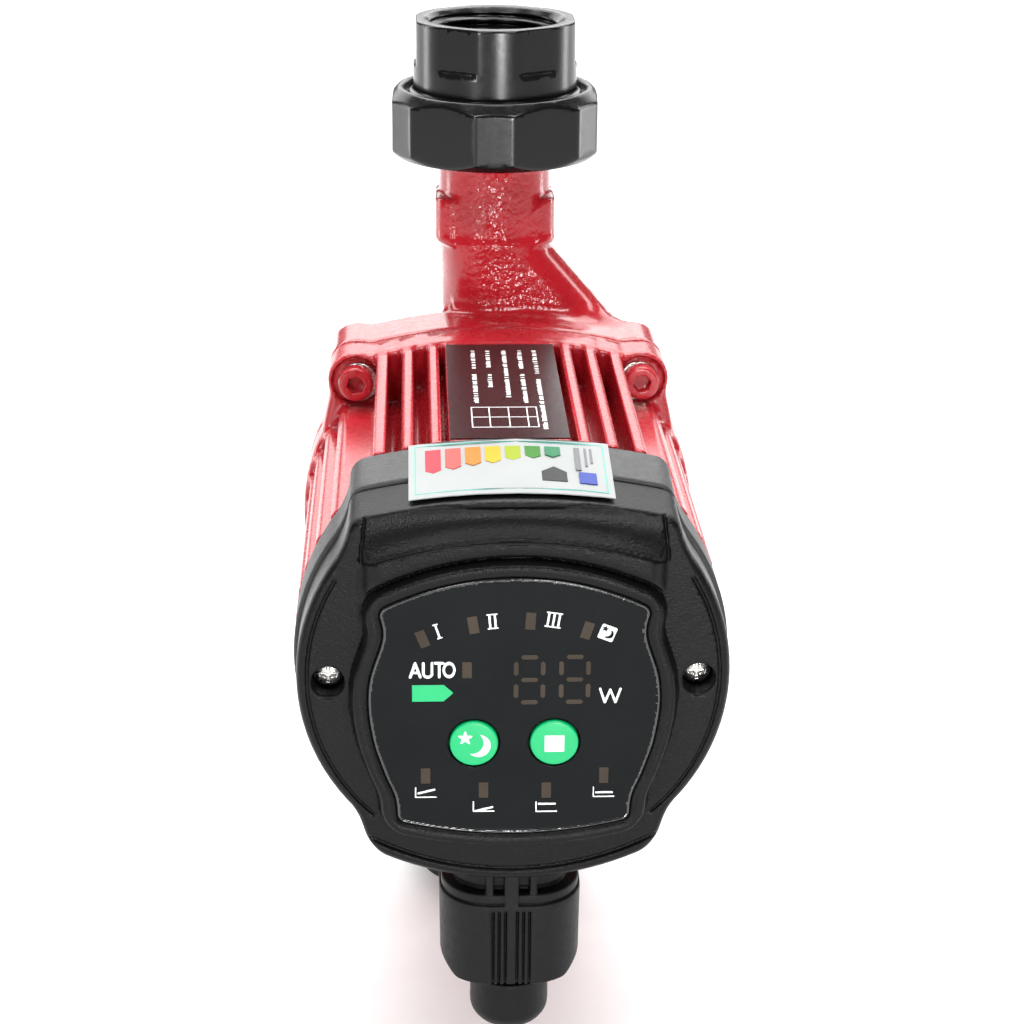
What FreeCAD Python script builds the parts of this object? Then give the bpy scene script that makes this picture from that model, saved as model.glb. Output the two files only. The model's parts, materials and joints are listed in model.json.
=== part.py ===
import FreeCAD, Part
import os
import re
import Sketcher

# Wet-rotor circulator pump. Millimetres, +Z up along the pipe axis, front of the pump towards -Y.
# The origin is the first thread of the inlet union, on the pipe axis.
#
# Two local frames are used:
#   pipe frame   +Z runs out along one neck, zero on the motor axis;
#   motor frame  X to the right, Y up, Z forward along the motor axis, zero on the pipe axis.

DIMENSIONS = [
    # name, value, what it is
    ("axis_height", 118.0, "first thread of a union to the motor axis"),
    ("port_face", 90.0, "motor axis to a port face, half of the 180 port-to-port length"),
    ("port_thread_radius", 23.1, "G 1 1/2 port thread at its pitch diameter"),
    ("port_thread_start", 83.0, "motor axis to the foot of the port thread"),
    ("neck_radius", 13.7, "outside of the cast neck"),
    ("waterway_radius", 10.0, "bore of the cast neck"),
    ("waterway_start", 37.0, "motor axis to the blind end of a neck's bore"),
    ("passage_end", 41.5, "motor axis to the far side of the passages at the necks' feet"),
    ("ear_width", 30.6, "across the wrench ears of the neck"),
    ("ear_depth", 12.0, "wrench ears, front to back"),
    ("ear_start", 63.4, "lower edge of the wrench ears"),
    ("ear_end", 75.3, "upper edge of the wrench ears"),
    ("gasket_thickness", 2.0, "flat union gasket"),
    ("gasket_bore", 14.5, "bore radius of the union gasket"),
    ("collar_radius", 22.3, "collar of the tailpiece, held by the nut lip"),
    ("collar_thickness", 5.0, "collar of the tailpiece"),
    ("tail_radius", 20.75, "outside of the tailpiece"),
    ("tail_bore", 13.0, "plain bore of the tailpiece below its thread"),
    ("tail_thread_radius", 15.15, "G 1 female thread at its minor diameter"),
    ("tail_thread_length", 15.0, "G 1 female thread"),
    ("tail_mouth_radius", 17.5, "mouth chamfer of the tailpiece"),
    ("tail_chamfer", 1.3, "depth of the mouth chamfer"),
    ("tail_flats", 40.0, "across the wrench flats of the tailpiece"),
    ("tail_flats_length", 11.0, "length of the wrench flats"),
    ("nut_start", 85.2, "motor axis to the open end of the union nut"),
    ("nut_end", 102.3, "motor axis to the lip face of the union nut"),
    ("nut_corner_radius", 27.5, "union nut over its corners"),
    ("nut_flat_radius", 25.9, "half of the union nut across its six wide flats"),
    ("nut_narrow_radius", 27.0, "half of the union nut across its six narrow flats"),
    ("nut_rim_radius", 24.6, "outer edge of the nut's lip face"),
    ("nut_turned", 28.0, "the outlet nut as it was left when tightened, degrees"),
    ("nut_thread_radius", 23.2, "union nut thread at its pitch diameter"),
    ("nut_lip_radius", 21.0, "bore of the union nut lip"),
    ("nut_lip", 5.3, "depth of the union nut lip with its counterbore"),
    ("nut_counterbore_radius", 23.3, "counterbore in the lip face"),
    ("nut_counterbore", 2.3, "depth of the counterbore in the lip face"),
    ("nut_chamfer", 2.8, "height of the cone above the corners of the union nut"),
    ("nut_foot_chamfer", 1.8, "chamfer at the open end of the union nut"),
    ("flange_crown_radius", 129.0, "radius of the four crowned sides of the square outline"),
    ("flange_crown_offset", 83.0, "centre of a crowned side, behind the motor axis"),
    ("screw_offset", 35.5, "housing screws, sideways and upwards from the motor axis"),
    ("lug_radius", 7.0, "flange lug around a housing screw"),
    ("flange_side_radius", 49.4, "round sides of the flange"),
    ("flange_side_half", 20.5, "half height of the round sides of the flange"),
    ("volute_rear", -27.0, "back face of the pump housing"),
    ("volute_radius", 44.0, "outside of the volute behind the flange"),
    ("volute_rear_radius", 30.0, "outside of the volute at its back face"),
    ("volute_wall", 5.0, "wall of the volute"),
    ("suction_radius", 27.0, "suction cavity behind the impeller chamber"),
    ("flange_rear", 8.5, "rear edge of the housing flange band"),
    ("split_face", 25.7, "face between pump housing and motor housing"),
    ("flange_front", 37.3, "front face of the motor flange"),
    ("chamber_start", 2.0, "rear wall of the impeller chamber"),
    ("chamber_radius", 34.0, "impeller chamber"),
    ("register_radius", 38.3, "recess that centres the bearing plate"),
    ("plate_start", 20.9, "rear face of the bearing plate"),
    ("plate_thickness", 2.5, "bearing plate"),
    ("plate_radius", 38.0, "bearing plate and can flange"),
    ("motor_end", 110.0, "front end of the motor housing"),
    ("drum_radius", 39.0, "root of the cooling fins"),
    ("stator_bore", 33.0, "bore of the motor housing for the stator"),
    ("rear_wall_end", 30.0, "front of the motor housing rear wall"),
    ("fin_thickness", 3.0, "cooling fin"),
    ("fin_pitch", 6.25, "spacing of the cooling fins on top and underneath"),
    ("side_fin_pitch", 6.2, "spacing of the cooling fins on the sides"),
    ("side_fin_radius", 48.2, "tips of the side fins, on a circle"),
    ("fin_first", 16.35, "motor axis to the centre of the first fin beside the label pad"),
    ("spot_face_radius", 6.0, "spot face under a housing screw head"),
    ("spot_face_depth", 1.6, "depth of the spot face"),
    ("pad_half_width", 13.5, "half width of the label pad"),
    ("pad_height", 45.0, "motor axis to the label pad"),
    ("screw_head_radius", 4.25, "M5 socket head"),
    ("screw_head_height", 5.0, "M5 socket head"),
    ("screw_shank_radius", 2.5, "M5 shank"),
    ("screw_depth", 14.0, "engagement of a housing screw in the pump housing"),
    ("hex_socket_flats", 4.0, "across flats of the M5 hexagon socket"),
    ("eye_radius", 11.0, "impeller eye neck, outside"),
    ("impeller_radius", 30.0, "impeller"),
    ("impeller_start", 6.0, "rear face of the impeller shroud"),
    ("vane_height", 6.5, "impeller vanes"),
    ("shroud_thickness", 1.5, "impeller shrouds"),
    ("shaft_radius", 4.5, "ceramic shaft"),
    ("bearing_bore", 4.55, "shaft bore of the carbon bearings"),
    ("bearing_radius", 8.0, "outside of the carbon bearings"),
    ("magnet_radius", 15.0, "rotor magnet"),
    ("magnet_start", 44.0, "rear face of the magnet and of the stator core"),
    ("magnet_end", 88.0, "front face of the magnet and of the stator core"),
    ("sleeve_radius", 15.4, "outside of the rotor sleeve"),
    ("can_bore", 16.2, "inside of the rotor can"),
    ("can_radius", 16.6, "outside of the rotor can"),
    ("can_flange", 0.8, "thickness of the can flange"),
    ("can_end", 103.0, "front face of the rotor can"),
    ("core_bore", 16.9, "bore of the stator core"),
    ("core_radius", 32.95, "outside of the stator core"),
    ("slot_radius", 3.7, "stator slot"),
    ("slot_circle", 24.3, "circle of the stator slots"),
    ("coil_radius", 3.4, "winding bar inside a slot"),
    ("box_radius", 47.0, "round side of the control box cover"),
    ("box_base_radius", 48.0, "round side of the control box base"),
    ("box_seam", 124.0, "seam between the control box base and cover"),
    ("box_front", 137.0, "front rim of the control box"),
    ("box_wall", 2.3, "wall of the control box"),
    ("shoulder_half_width", 35.2, "half width of the top shoulder"),
    ("shoulder_height", 45.5, "ridge of the shoulder at its rear edge"),
    ("top_slope", 9.0, "fall of the shoulder towards the front, degrees"),
    ("top_crown", 150.0, "radius of the shoulder's crowned top"),
    ("sticker_half_width", 22.4, "half width of the energy sticker"),
    ("sticker_length", 24.0, "energy sticker, along the slope"),
    ("sticker_thickness", 0.25, "energy sticker"),
    ("chin_half_width", 33.0, "half width of the bottom extension"),
    ("chin_depth", 49.6, "motor axis to the lowest point of the control box"),
    ("chin_crown", 67.0, "radius of the curved underside"),
    ("bezel_front", 141.0, "front of the raised bezel"),
    ("bezel_half_width", 34.2, "half width of the bezel"),
    ("bezel_top", 30.0, "motor axis to the crown of the bezel's upper edge"),
    ("bezel_radius", 37.0, "round sides and bottom of the bezel"),
    ("panel_crown", 70.0, "radius of the upper edges of bezel and foil"),
    ("foil_half_width", 31.5, "half width of the panel foil"),
    ("foil_top", 25.6, "motor axis to the crown of the foil's upper edge"),
    ("foil_radius", 35.0, "round sides and bottom of the panel foil"),
    ("foil_thickness", 0.5, "panel foil"),
    ("button_offset", 8.7, "buttons, sideways from the motor axis"),
    ("button_drop", 13.5, "buttons, below the motor axis"),
    ("button_radius", 5.3, "button"),
    ("button_gap", 0.3, "clearance round a button"),
    ("button_back", 139.6, "back face of a button"),
    ("button_face", 141.4, "front face of a button"),
    ("ear_screw_offset", 40.1, "cover screws, sideways from the motor axis"),
    ("ear_hole_radius", 3.6, "recess over a cover screw"),
    ("ear_hole_floor", 131.0, "floor of the recess over a cover screw"),
    ("box_screw_offset", 25.6, "box screws, sideways and upwards from the motor axis"),
    ("window_half_width", 11.5, "half width of the digit window"),
    ("window_half_height", 7.0, "half height of the digit window"),
    ("window_right", 7.0, "digit window, right of the motor axis"),
    ("window_up", 1.6, "digit window, above the motor axis"),
    ("plug_half_width", 16.2, "half width of the mains plug"),
    ("plug_middle", 122.0, "mains plug, front to back position"),
    ("plug_half_depth", 12.5, "half depth of the mains plug"),
    ("plug_top", -50.0, "upper face of the mains plug"),
    ("plug_bottom", -80.0, "lower face of the mains plug"),
    ("plug_wall", 2.0, "wall of the mains plug"),
    ("plug_corner", 12.0, "radius of the plug's two front corners"),
    ("plug_shoulder", -57.5, "top of the full plug body, below its narrower collar"),
    ("plug_taper", 4.0, "inset of the plug's collar and of its foot"),
    ("plug_groove_depth", 0.7, "grip grooves in the plug's front"),
    ("socket_half_width", 13.0, "half width of the mains socket shroud"),
    ("socket_half_depth", 9.0, "half depth of the mains socket shroud"),
    ("socket_top", -37.0, "upper face of the mains socket"),
    ("socket_mouth", -48.9, "lower face of the mains socket"),
    ("pin_radius", 1.2, "mains pin"),
    ("pin_pitch", 6.5, "spacing of the mains pins"),
    ("gland_radius", 9.3, "outside of the gland nut"),
    ("gland_end", -94.0, "lower end of the gland nut"),
    ("gland_thread_radius", 7.6, "gland thread at its pitch diameter"),
    ("cable_entry_radius", 4.5, "cable entry of the gland nut"),
]

# The nine indicator lamps behind the foil, across and up from the motor axis.
LAMPS = [(-20.3, 11.6), (-9.2, 14.6), (3.2, 15.2), (15.3, 13.0), (-11.0, 3.6),
         (-19.5, -20.9), (-6.9, -24.4), (6.9, -24.4), (19.5, -20.9)]

# Sections of the cast flare above the volute: height, shift to the right, half width and half depth.
FLARE = [(63.0, 0.0, 13.6, 13.599), (55.0, 3.0, 15.4, 14.2), (47.0, 7.5, 19.0, 15.0),
         (41.0, 9.6, 21.0, 15.4)]

V = FreeCAD.Vector
ALIASES = [name for name, value, note in DIMENSIONS]
ALIAS_PATTERN = re.compile(r"\b(" + "|".join(ALIASES) + r")\b")
FORWARD = FreeCAD.Rotation(V(1, 0, 0), 90)
DOWNWARD = FreeCAD.Rotation(V(1, 0, 0), 180)
UPRIGHT = FreeCAD.Rotation()
PRIMITIVES = ("Part::Box", "Part::Cylinder")

doc = FreeCAD.newDocument("CirculatorPump")
sheet = doc.addObject("Spreadsheet::Sheet", "Dims")
nodes = []


def fill_sheet():
    """Write each dimension into a row of the sheet: its note, its value and the value's alias."""
    for row, (name, value, note) in enumerate(DIMENSIONS, start=1):
        sheet.set(f"A{row}", note)
        sheet.set(f"B{row}", str(value))
        sheet.setAlias(f"B{row}", name)
    doc.recompute()


def formula(text):
    """Turn a formula over dimension names into an expression over the sheet."""
    return ALIAS_PATTERN.sub(r"Dims.\1", str(text))


def size_of(text):
    return float(sheet.evalExpression(formula(text)))


def bind(thing, formulas):
    for prop, text in formulas.items():
        thing.setExpression(prop, formula(text))


def place(thing, at, turn=UPRIGHT):
    thing.Placement = FreeCAD.Placement(V(), turn)
    bind(thing, {"Placement.Base.x": at[0], "Placement.Base.y": at[1], "Placement.Base.z": at[2]})


def cylinder(name, radius, start, end, x=0, y=0, turn=None):
    """A cylinder along Z from start to end; turn leans it about the point (x, y, start)."""
    thing = doc.addObject("Part::Cylinder", name)
    bind(thing, {"Radius": radius, "Height": f"({end}) - ({start})"})
    place(thing, (x, y, start), turn or UPRIGHT)
    return thing


def cone(name, start_radius, end_radius, start, end, x=0, y=0):
    thing = doc.addObject("Part::Cone", name)
    bind(thing, {"Radius1": start_radius, "Radius2": end_radius, "Height": f"({end}) - ({start})"})
    place(thing, (x, y, start))
    return thing


def block(name, x_span, y_span, z_span, turn=None):
    """A box between pairs of formulas; turn rotates it about its low corner."""
    thing = doc.addObject("Part::Box", name)
    lengths = {}
    for prop, (low, high) in zip(("Length", "Width", "Height"), (x_span, y_span, z_span)):
        lengths[prop] = f"({high}) - ({low})"
    bind(thing, lengths)
    place(thing, (x_span[0], y_span[0], z_span[0]), turn or UPRIGHT)
    return thing


def prism(name, flats, start, end, turned=0, x=0, y=0):
    """A hexagonal prism along Z, flats across its flats, with a corner at turned degrees from X."""
    thing = doc.addObject("Part::Prism", name)
    thing.Polygon = 6
    bind(thing, {"Circumradius": f"({flats}) / sqrt(3)", "Height": f"({end}) - ({start})"})
    place(thing, (x, y, start), FreeCAD.Rotation(V(0, 0, 1), turned))
    return thing


def fuse(name, things):
    thing = doc.addObject("Part::MultiFuse", name)
    thing.Shapes = things
    return thing


def common(name, things):
    thing = doc.addObject("Part::MultiCommon", name)
    thing.Shapes = things
    return thing


def cut(name, base, tools):
    thing = doc.addObject("Part::Cut", name)
    thing.Base = base
    thing.Tool = tools[0] if len(tools) == 1 else fuse(name + "Tools", tools)
    return thing


def group(name, things):
    """Separate solids that share one node."""
    thing = doc.addObject("Part::Compound", name)
    thing.Links = things
    return thing


def sketch_outline(body, role, points):
    """A closed polygon on one of the body's origin planes, each corner held by two formulas."""
    sketch = body.newObject("Sketcher::SketchObject", body.Name + "Outline")
    plane = [item for item in body.Origin.OriginFeatures if item.Role == role][0]
    sketch.AttachmentSupport = [(plane, "")]
    sketch.MapMode = "FlatFace"
    corners = [V(size_of(across), size_of(along), 0) for across, along in points]
    count = len(points)
    for index in range(count):
        sketch.addGeometry(Part.LineSegment(corners[index], corners[(index + 1) % count]))
    for index in range(count):
        sketch.addConstraint(Sketcher.Constraint("Coincident", index, 2, (index + 1) % count, 1))
    for index, (across, along) in enumerate(points):
        for kind, text, value in (("DistanceX", across, corners[index].x),
                                  ("DistanceY", along, corners[index].y)):
            number = sketch.addConstraint(Sketcher.Constraint(kind, -1, 1, index, 1, value))
            sketch.setExpression(f"Constraints[{number}]", formula(text))
    return sketch


def lathe(name, points):
    """A body turned about Z from (radius, height) corners."""
    body = doc.addObject("PartDesign::Body", name)
    sketch = sketch_outline(body, "XZ_Plane", points)
    turned = body.newObject("PartDesign::Revolution", name + "Turned")
    turned.Profile = sketch
    turned.ReferenceAxis = (sketch, ["V_Axis"])
    turned.Angle = 360
    doc.recompute()
    return body


def ring(name, bore, radius, start, end):
    return lathe(name, [(bore, start), (radius, start), (radius, end), (bore, end)])


def node(thing, label, turn):
    """Name a finished sub-part and stand it in the pump's frame, on the motor axis.

    A primitive keeps the place that it has in its local frame inside a compound of its own.
    """
    if thing.TypeId in PRIMITIVES:
        thing = group(thing.Name + "Placed", [thing])
    thing.Label = label
    place(thing, (0, 0, "axis_height"), turn)
    nodes.append(thing)


def corners_of(offset):
    """The four points at offset to each side of the motor axis and above and below it."""
    return [(f"({x}) * ({offset})", f"({y}) * ({offset})") for x in (-1, 1) for y in (-1, 1)]


def polar(count, radius):
    """Points evenly spaced on a circle about the axis, as pairs of formulas."""
    points = []
    for index in range(count):
        angle = 360 * index / count
        points.append((f"({radius}) * cos({angle} deg)", f"({radius}) * sin({angle} deg)"))
    return points


# --- Outlines that several castings and mouldings share, all in the motor frame ---


def crowned_square(name, start, end):
    """A square with four slightly crowned sides."""
    sides = []
    for index, (x, y) in enumerate(((0, -1), (0, 1), (-1, 0), (1, 0))):
        centre = (f"{x} * flange_crown_offset", f"{y} * flange_crown_offset")
        sides.append(cylinder(f"{name}Side{index}", "flange_crown_radius", start, end, *centre))
    return common(name, sides)


def flange_outline(name, start, end):
    """The joint face of both castings: a crowned square with round sides and a lug at each screw."""
    disc = cylinder(name + "Disc", "flange_side_radius", start, end)
    middle = block(name + "Middle", (-60, 60), ("-flange_side_half", "flange_side_half"), (start, end))
    sides = common(name + "RoundSides", [disc, middle])
    return fuse(name, [crowned_square(name + "Square", start, end), sides]
                + lugs(name + "Lug", "lug_radius", start, end))


def lugs(name, radius, start, end):
    return [cylinder(f"{name}{index}", radius, start, end, x, y)
            for index, (x, y) in enumerate(corners_of("screw_offset"))]


def box_outline(name, radius, start, end, inset="0"):
    """The control box: round sides, a crowned sloping shoulder and a chin with a curved underside."""
    disc = cylinder(name + "Disc", f"{radius} - {inset}", start, end)
    shoulder_x = f"shoulder_half_width - {inset}"
    shoulder = block(name + "Shoulder", (f"-({shoulder_x})", shoulder_x), (0, f"shoulder_height - {inset}"),
                     (start, end))
    chin_x = f"chin_half_width - {inset}"
    chin = block(name + "Chin", (f"-({chin_x})", chin_x), (f"{inset} - chin_depth", 0), (start, end))
    underside = cylinder(name + "Underside", f"chin_crown - {inset}", start, end, 0,
                         "chin_crown - chin_depth")
    chin_crowned = common(name + "ChinCrowned", [chin, underside])
    outline = fuse(name + "Outline", [disc, shoulder, chin_crowned])
    crown = cylinder(name + "Crown", f"top_crown - {inset}", 0, 120)
    place_on_crown(crown, -30)
    return common(name, [outline, crown])


def place_on_crown(thing, start):
    """Lay a thing's Z along the axis of the shoulder's crown, from start; 0 is below the rear ridge."""
    fall, level = "sin(top_slope * 1 deg)", "cos(top_slope * 1 deg)"
    place(thing, (0, f"shoulder_height - top_crown * {level} - ({start}) * {fall}",
                  f"motor_end - top_crown * {fall} + ({start}) * {level}"),
          FreeCAD.Rotation(V(1, 0, 0), size_of("top_slope")))


# --- Wet end ---


def make_pump_housing():
    """Cast body: volute drum, square flange, two necks with wrench ears and threaded ports."""
    drum = cone("VoluteDrum", "volute_rear_radius", "volute_radius", "volute_rear", "flange_rear + 1")
    flange = fuse("HousingFlange", [drum, flange_outline("FlangeBand", "flange_rear", "split_face")])
    flange.Placement = FreeCAD.Placement(V(), FORWARD)
    solids = [flange]
    hollows = []
    for side, turn in (("Outlet", UPRIGHT), ("Inlet", DOWNWARD)):
        neck = cylinder(side + "Neck", "neck_radius", 0, "port_thread_start + 1")
        shoulder = cone(side + "PortCone", "neck_radius", "port_thread_radius", "port_thread_start - 3",
                        "port_thread_start")
        port = cylinder(side + "Port", "port_thread_radius", "port_thread_start", "port_face")
        ears = block(side + "Ears", ("-ear_width / 2", "ear_width / 2"),
                     ("-ear_depth / 2", "ear_depth / 2"),
                     ("ear_start", "ear_end"))
        arm = fuse(side + "Arm", [neck, shoulder, port, ears])
        arm.Placement = FreeCAD.Placement(V(), turn)
        solids.append(arm)
        bore = cylinder(side + "Bore", "waterway_radius", "waterway_start", "port_face + 1")
        waterway = group(side + "Waterway", [bore])
        waterway.Placement = FreeCAD.Placement(V(), turn)
        hollows.append(waterway)
    solids.append(volute_flare())
    body = fuse("HousingSolid", solids)
    chamber = cylinder("Chamber", "chamber_radius", "chamber_start", "split_face + 1")
    register = cylinder("Register", "register_radius", "plate_start", "split_face + 2")
    eye = cylinder("SuctionEye", "eye_radius + 2", "-10", "chamber_start + 1")
    cavity = cylinder("SuctionCavity", "suction_radius", "volute_rear + volute_wall",
                      "chamber_start - volute_wall")
    discharge = block("DischargePassage", (-8, 8), (22, "passage_end"), ("chamber_start", 18))
    suction = block("SuctionPassage", (-7, 7), ("-passage_end", -20),
                    ("-waterway_radius", "chamber_start - volute_wall"))
    front_hollows = fuse("FrontHollows", [chamber, register, eye, cavity, discharge, suction]
                         + lugs("HousingTap", "screw_shank_radius", "split_face - screw_depth - 1",
                                "split_face + 1"))
    front_hollows.Placement = FreeCAD.Placement(V(), FORWARD)
    housing = cut("PumpHousing", body, hollows + [front_hollows])
    node(housing, "pump_housing", UPRIGHT)


def volute_flare():
    """The cast flare between the outlet neck and the volute, leaning to the discharge side."""
    sections = []
    for index, (height, shift, half_width, half_depth) in enumerate(FLARE):
        section = doc.addObject("Part::Ellipse", f"Flare{index}")
        section.MajorRadius = half_width
        section.MinorRadius = half_depth
        section.Placement = FreeCAD.Placement(V(shift, 0, height), UPRIGHT)
        sections.append(section)
    flare = doc.addObject("Part::Loft", "VoluteFlare")
    flare.Sections = sections
    flare.Solid = True
    flare.Ruled = False
    return flare


def make_wear_ring():
    node(ring("WearRing", "eye_radius + 0.3", "eye_radius + 2", "chamber_start - 3", "chamber_start + 1.5"),
         "wear_ring", FORWARD)


def make_impeller():
    """Closed impeller: suction shroud with an eye neck, curved vanes, back shroud with a hub."""
    vane_start = "impeller_start + shroud_thickness"
    back_start = "impeller_start + shroud_thickness + vane_height"
    back_end = "impeller_start + 2 * shroud_thickness + vane_height"
    front = lathe("SuctionShroud", [
        ("eye_radius - 1.6", "chamber_start - 2"), ("eye_radius", "chamber_start - 2"),
        ("eye_radius", "impeller_start"), ("impeller_radius", "impeller_start"),
        ("impeller_radius", vane_start), ("eye_radius - 1.6", vane_start)])
    back = lathe("BackShroud", [
        ("shaft_radius", back_start), ("impeller_radius", back_start), ("impeller_radius", back_end),
        ("8", back_end), ("8", f"{back_end} + 2.2"), ("shaft_radius", f"{back_end} + 2.2")])
    vanes = []
    for index in range(6):
        outer = cylinder(f"VaneOuter{index}", 17.0, f"{vane_start} - 0.2", f"{back_start} + 0.2")
        inner = cylinder(f"VaneInner{index}", 15.4, f"{vane_start} - 0.3", f"{back_start} + 0.3")
        wall = cut(f"VaneWall{index}", outer, [inner])
        keep = cylinder(f"VaneKeep{index}", "impeller_radius - 0.3", f"{vane_start} - 0.2",
                        f"{back_start} + 0.2")
        keep_out = cylinder(f"VaneEye{index}", "eye_radius", f"{vane_start} - 0.4", f"{back_start} + 0.4")
        sector = block(f"VaneSide{index}", (0, 40), (-40, 0),
                       (f"{vane_start} - 0.3", f"{back_start} + 0.3"))
        wall.Placement = FreeCAD.Placement(V(17.0, 0, 0), UPRIGHT)
        vane = common(f"Vane{index}", [cut(f"VaneRing{index}", keep, [keep_out]), wall, sector])
        vane.Placement = FreeCAD.Placement(V(), FreeCAD.Rotation(V(0, 0, 1), 60 * index))
        vanes.append(vane)
    node(fuse("Impeller", [front, back] + vanes), "impeller", FORWARD)


def make_bearing_plate():
    """Pressed plate with a deep hub for the pump-side bearing."""
    plate_end = "plate_start + plate_thickness"
    node(lathe("BearingPlate", [
        ("shaft_radius + 0.6", "plate_start"), ("plate_radius", "plate_start"), ("plate_radius", plate_end),
        ("can_bore - 0.5", plate_end), ("bearing_radius + 1.6", "plate_start + 6"),
        ("bearing_radius + 1.6", "plate_start + 15"), ("bearing_radius", "plate_start + 15"),
        ("bearing_radius", "plate_start + 5"), ("shaft_radius + 0.6", "plate_start + 5")]),
        "bearing_plate", FORWARD)


def make_bearings():
    node(ring("PumpBearing", "bearing_bore", "bearing_radius", "plate_start + 5", "plate_start + 15.4"),
         "pump_side_bearing", FORWARD)
    node(ring("ThrustBearing", "shaft_radius", "bearing_radius + 1", "plate_start + 15.6",
              "plate_start + 19"),
         "thrust_bearing", FORWARD)
    node(ring("EndBearing", "bearing_bore", "bearing_radius", "can_end - 11", "can_end - 2.5"),
         "end_bearing", FORWARD)
    node(ring("EndBearingSeat", "bearing_radius", "can_bore", "can_end - 10", "can_end - 3"),
         "end_bearing_seat", FORWARD)


# --- Rotor, can and stator ---


def make_rotor():
    shaft = cylinder("Shaft", "shaft_radius", "impeller_start + shroud_thickness + vane_height - 2",
                     "can_end - 2")
    node(shaft, "shaft", FORWARD)
    node(ring("RotorMagnet", "shaft_radius", "magnet_radius", "magnet_start", "magnet_end"), "rotor_magnet",
         FORWARD)
    node(lathe("RotorSleeve", [
        ("shaft_radius", "magnet_start - 0.8"), ("sleeve_radius", "magnet_start - 0.8"),
        ("sleeve_radius", "magnet_end + 0.8"), ("shaft_radius", "magnet_end + 0.8"),
        ("shaft_radius", "magnet_end"), ("magnet_radius", "magnet_end"),
        ("magnet_radius", "magnet_start"), ("shaft_radius", "magnet_start")]),
        "rotor_sleeve", FORWARD)


def make_rotor_can():
    """Thin stainless cup that keeps the water off the stator."""
    flange_start = "plate_start + plate_thickness"
    flange_end = "plate_start + plate_thickness + can_flange"
    node(lathe("RotorCan", [
        ("can_bore", flange_start), ("plate_radius", flange_start), ("plate_radius", flange_end),
        ("can_radius", flange_end), ("can_radius", "can_end"), ("0", "can_end"),
        ("0", "can_end - 1"), ("can_bore", "can_end - 1")]),
        "rotor_can", FORWARD)
    node(ring("CanSeal", "plate_radius - 3.5", "plate_radius - 0.5", flange_end, "split_face"), "can_seal",
         FORWARD)


def slot_bars(name, radius, start, end):
    return [cylinder(f"{name}{index}", radius, start, end, x, y)
            for index, (x, y) in enumerate(polar(6, "slot_circle"))]


def make_stator():
    core = ring("CoreStack", "core_bore", "core_radius", "magnet_start", "magnet_end")
    node(cut("StatorCore", core, slot_bars("CoreSlot", "slot_radius", "magnet_start - 1",
                                           "magnet_end + 1")),
         "stator_core", FORWARD)
    discs = []
    for name, start, end in (("RearInsulator", "magnet_start - 1", "magnet_start"),
                             ("FrontInsulator", "magnet_end", "magnet_end + 1")):
        disc = ring(name + "Disc", "core_bore + 0.3", "core_radius - 1.5", start, end)
        discs.append(cut(name, disc, slot_bars(name + "Slot", "slot_radius", f"{start} - 1", f"{end} + 1")))
    node(group("SlotInsulators", discs), "slot_insulators", FORWARD)
    rear = ring("RearEndTurns", "core_bore + 1.6", "core_radius - 3", "magnet_start - 10",
                "magnet_start - 1")
    front = ring("FrontEndTurns", "core_bore + 1.6", "core_radius - 3", "magnet_end + 1", "magnet_end + 10")
    bars = slot_bars("CoilBar", "coil_radius", "magnet_start - 2", "magnet_end + 2")
    node(fuse("Windings", [rear, front] + bars), "windings", FORWARD)


def make_motor_terminals():
    """Three pins that carry the winding ends to the power board."""
    pins = []
    for index in (-1, 0, 1):
        pins.append(block(f"MotorTerminal{index + 1}", (f"{index} * 5 - 0.4", f"{index} * 5 + 0.4"),
                          (23.6, 25.2),
                          ("magnet_end + 10", "motor_end + 8")))
    node(group("MotorTerminals", pins), "motor_terminals", FORWARD)


# --- Motor housing ---


def make_motor_housing():
    """Finned casting: square flange, drum, fins on four sides, label pad, screw channels."""
    flange = flange_outline("MotorFlange", "split_face", "flange_front")
    drum = cylinder("Drum", "drum_radius", "split_face", "motor_end")
    top_plates = []
    for index in range(3):
        centre = f"(fin_first + {index} * fin_pitch)"
        for side in (-1, 1):
            span = (f"{side} * {centre} - fin_thickness / 2", f"{side} * {centre} + fin_thickness / 2")
            top_plates.append(block(f"TopFin{index}{side + 1}", span, (-60, 60),
                                    ("split_face", "motor_end")))
    top_clip = crowned_square("TopFinClip", "split_face", "motor_end")
    top_fins = common("TopFins", [top_clip, fuse("TopFinPlates", top_plates)])
    side_plates = []
    for index in range(10):
        centre = f"{index - 4.5} * side_fin_pitch"
        span = (f"{centre} - fin_thickness / 2", f"{centre} + fin_thickness / 2")
        side_plates.append(block(f"SideFin{index}", (-60, 60), span, ("split_face", "motor_end")))
    side_clip = cylinder("SideFinClip", "side_fin_radius", "split_face", "motor_end")
    side_fins = common("SideFins", [side_clip, fuse("SideFinPlates", side_plates)])
    pads = []
    for side in (-1, 1):
        pads.append(block(f"LabelPad{side + 1}", ("-pad_half_width", "pad_half_width"),
                          (f"{side} * pad_height / 2 - pad_height / 2",
                           f"{side} * pad_height / 2 + pad_height / 2"),
                          ("split_face", "motor_end")))
    body = fuse("MotorBody", [flange, drum, top_fins, side_fins] + pads)
    hollows = [cylinder("StatorBore", "stator_bore", "rear_wall_end", "motor_end + 1"),
               cylinder("CanHole", "can_radius + 2", "split_face - 1", "rear_wall_end + 1")]
    hollows += lugs("SpotFace", "spot_face_radius", "flange_front - spot_face_depth", "flange_front + 2")
    hollows += lugs("FlangeHole", "screw_shank_radius + 0.25", "split_face - 1", "flange_front + 1")
    hollows += [cylinder(f"BoxTap{index}", 1.5, "motor_end - 9", "motor_end + 1", x, y)
                for index, (x, y) in enumerate(corners_of("box_screw_offset"))]
    node(cut("MotorHousing", body, hollows), "motor_housing", FORWARD)


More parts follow.
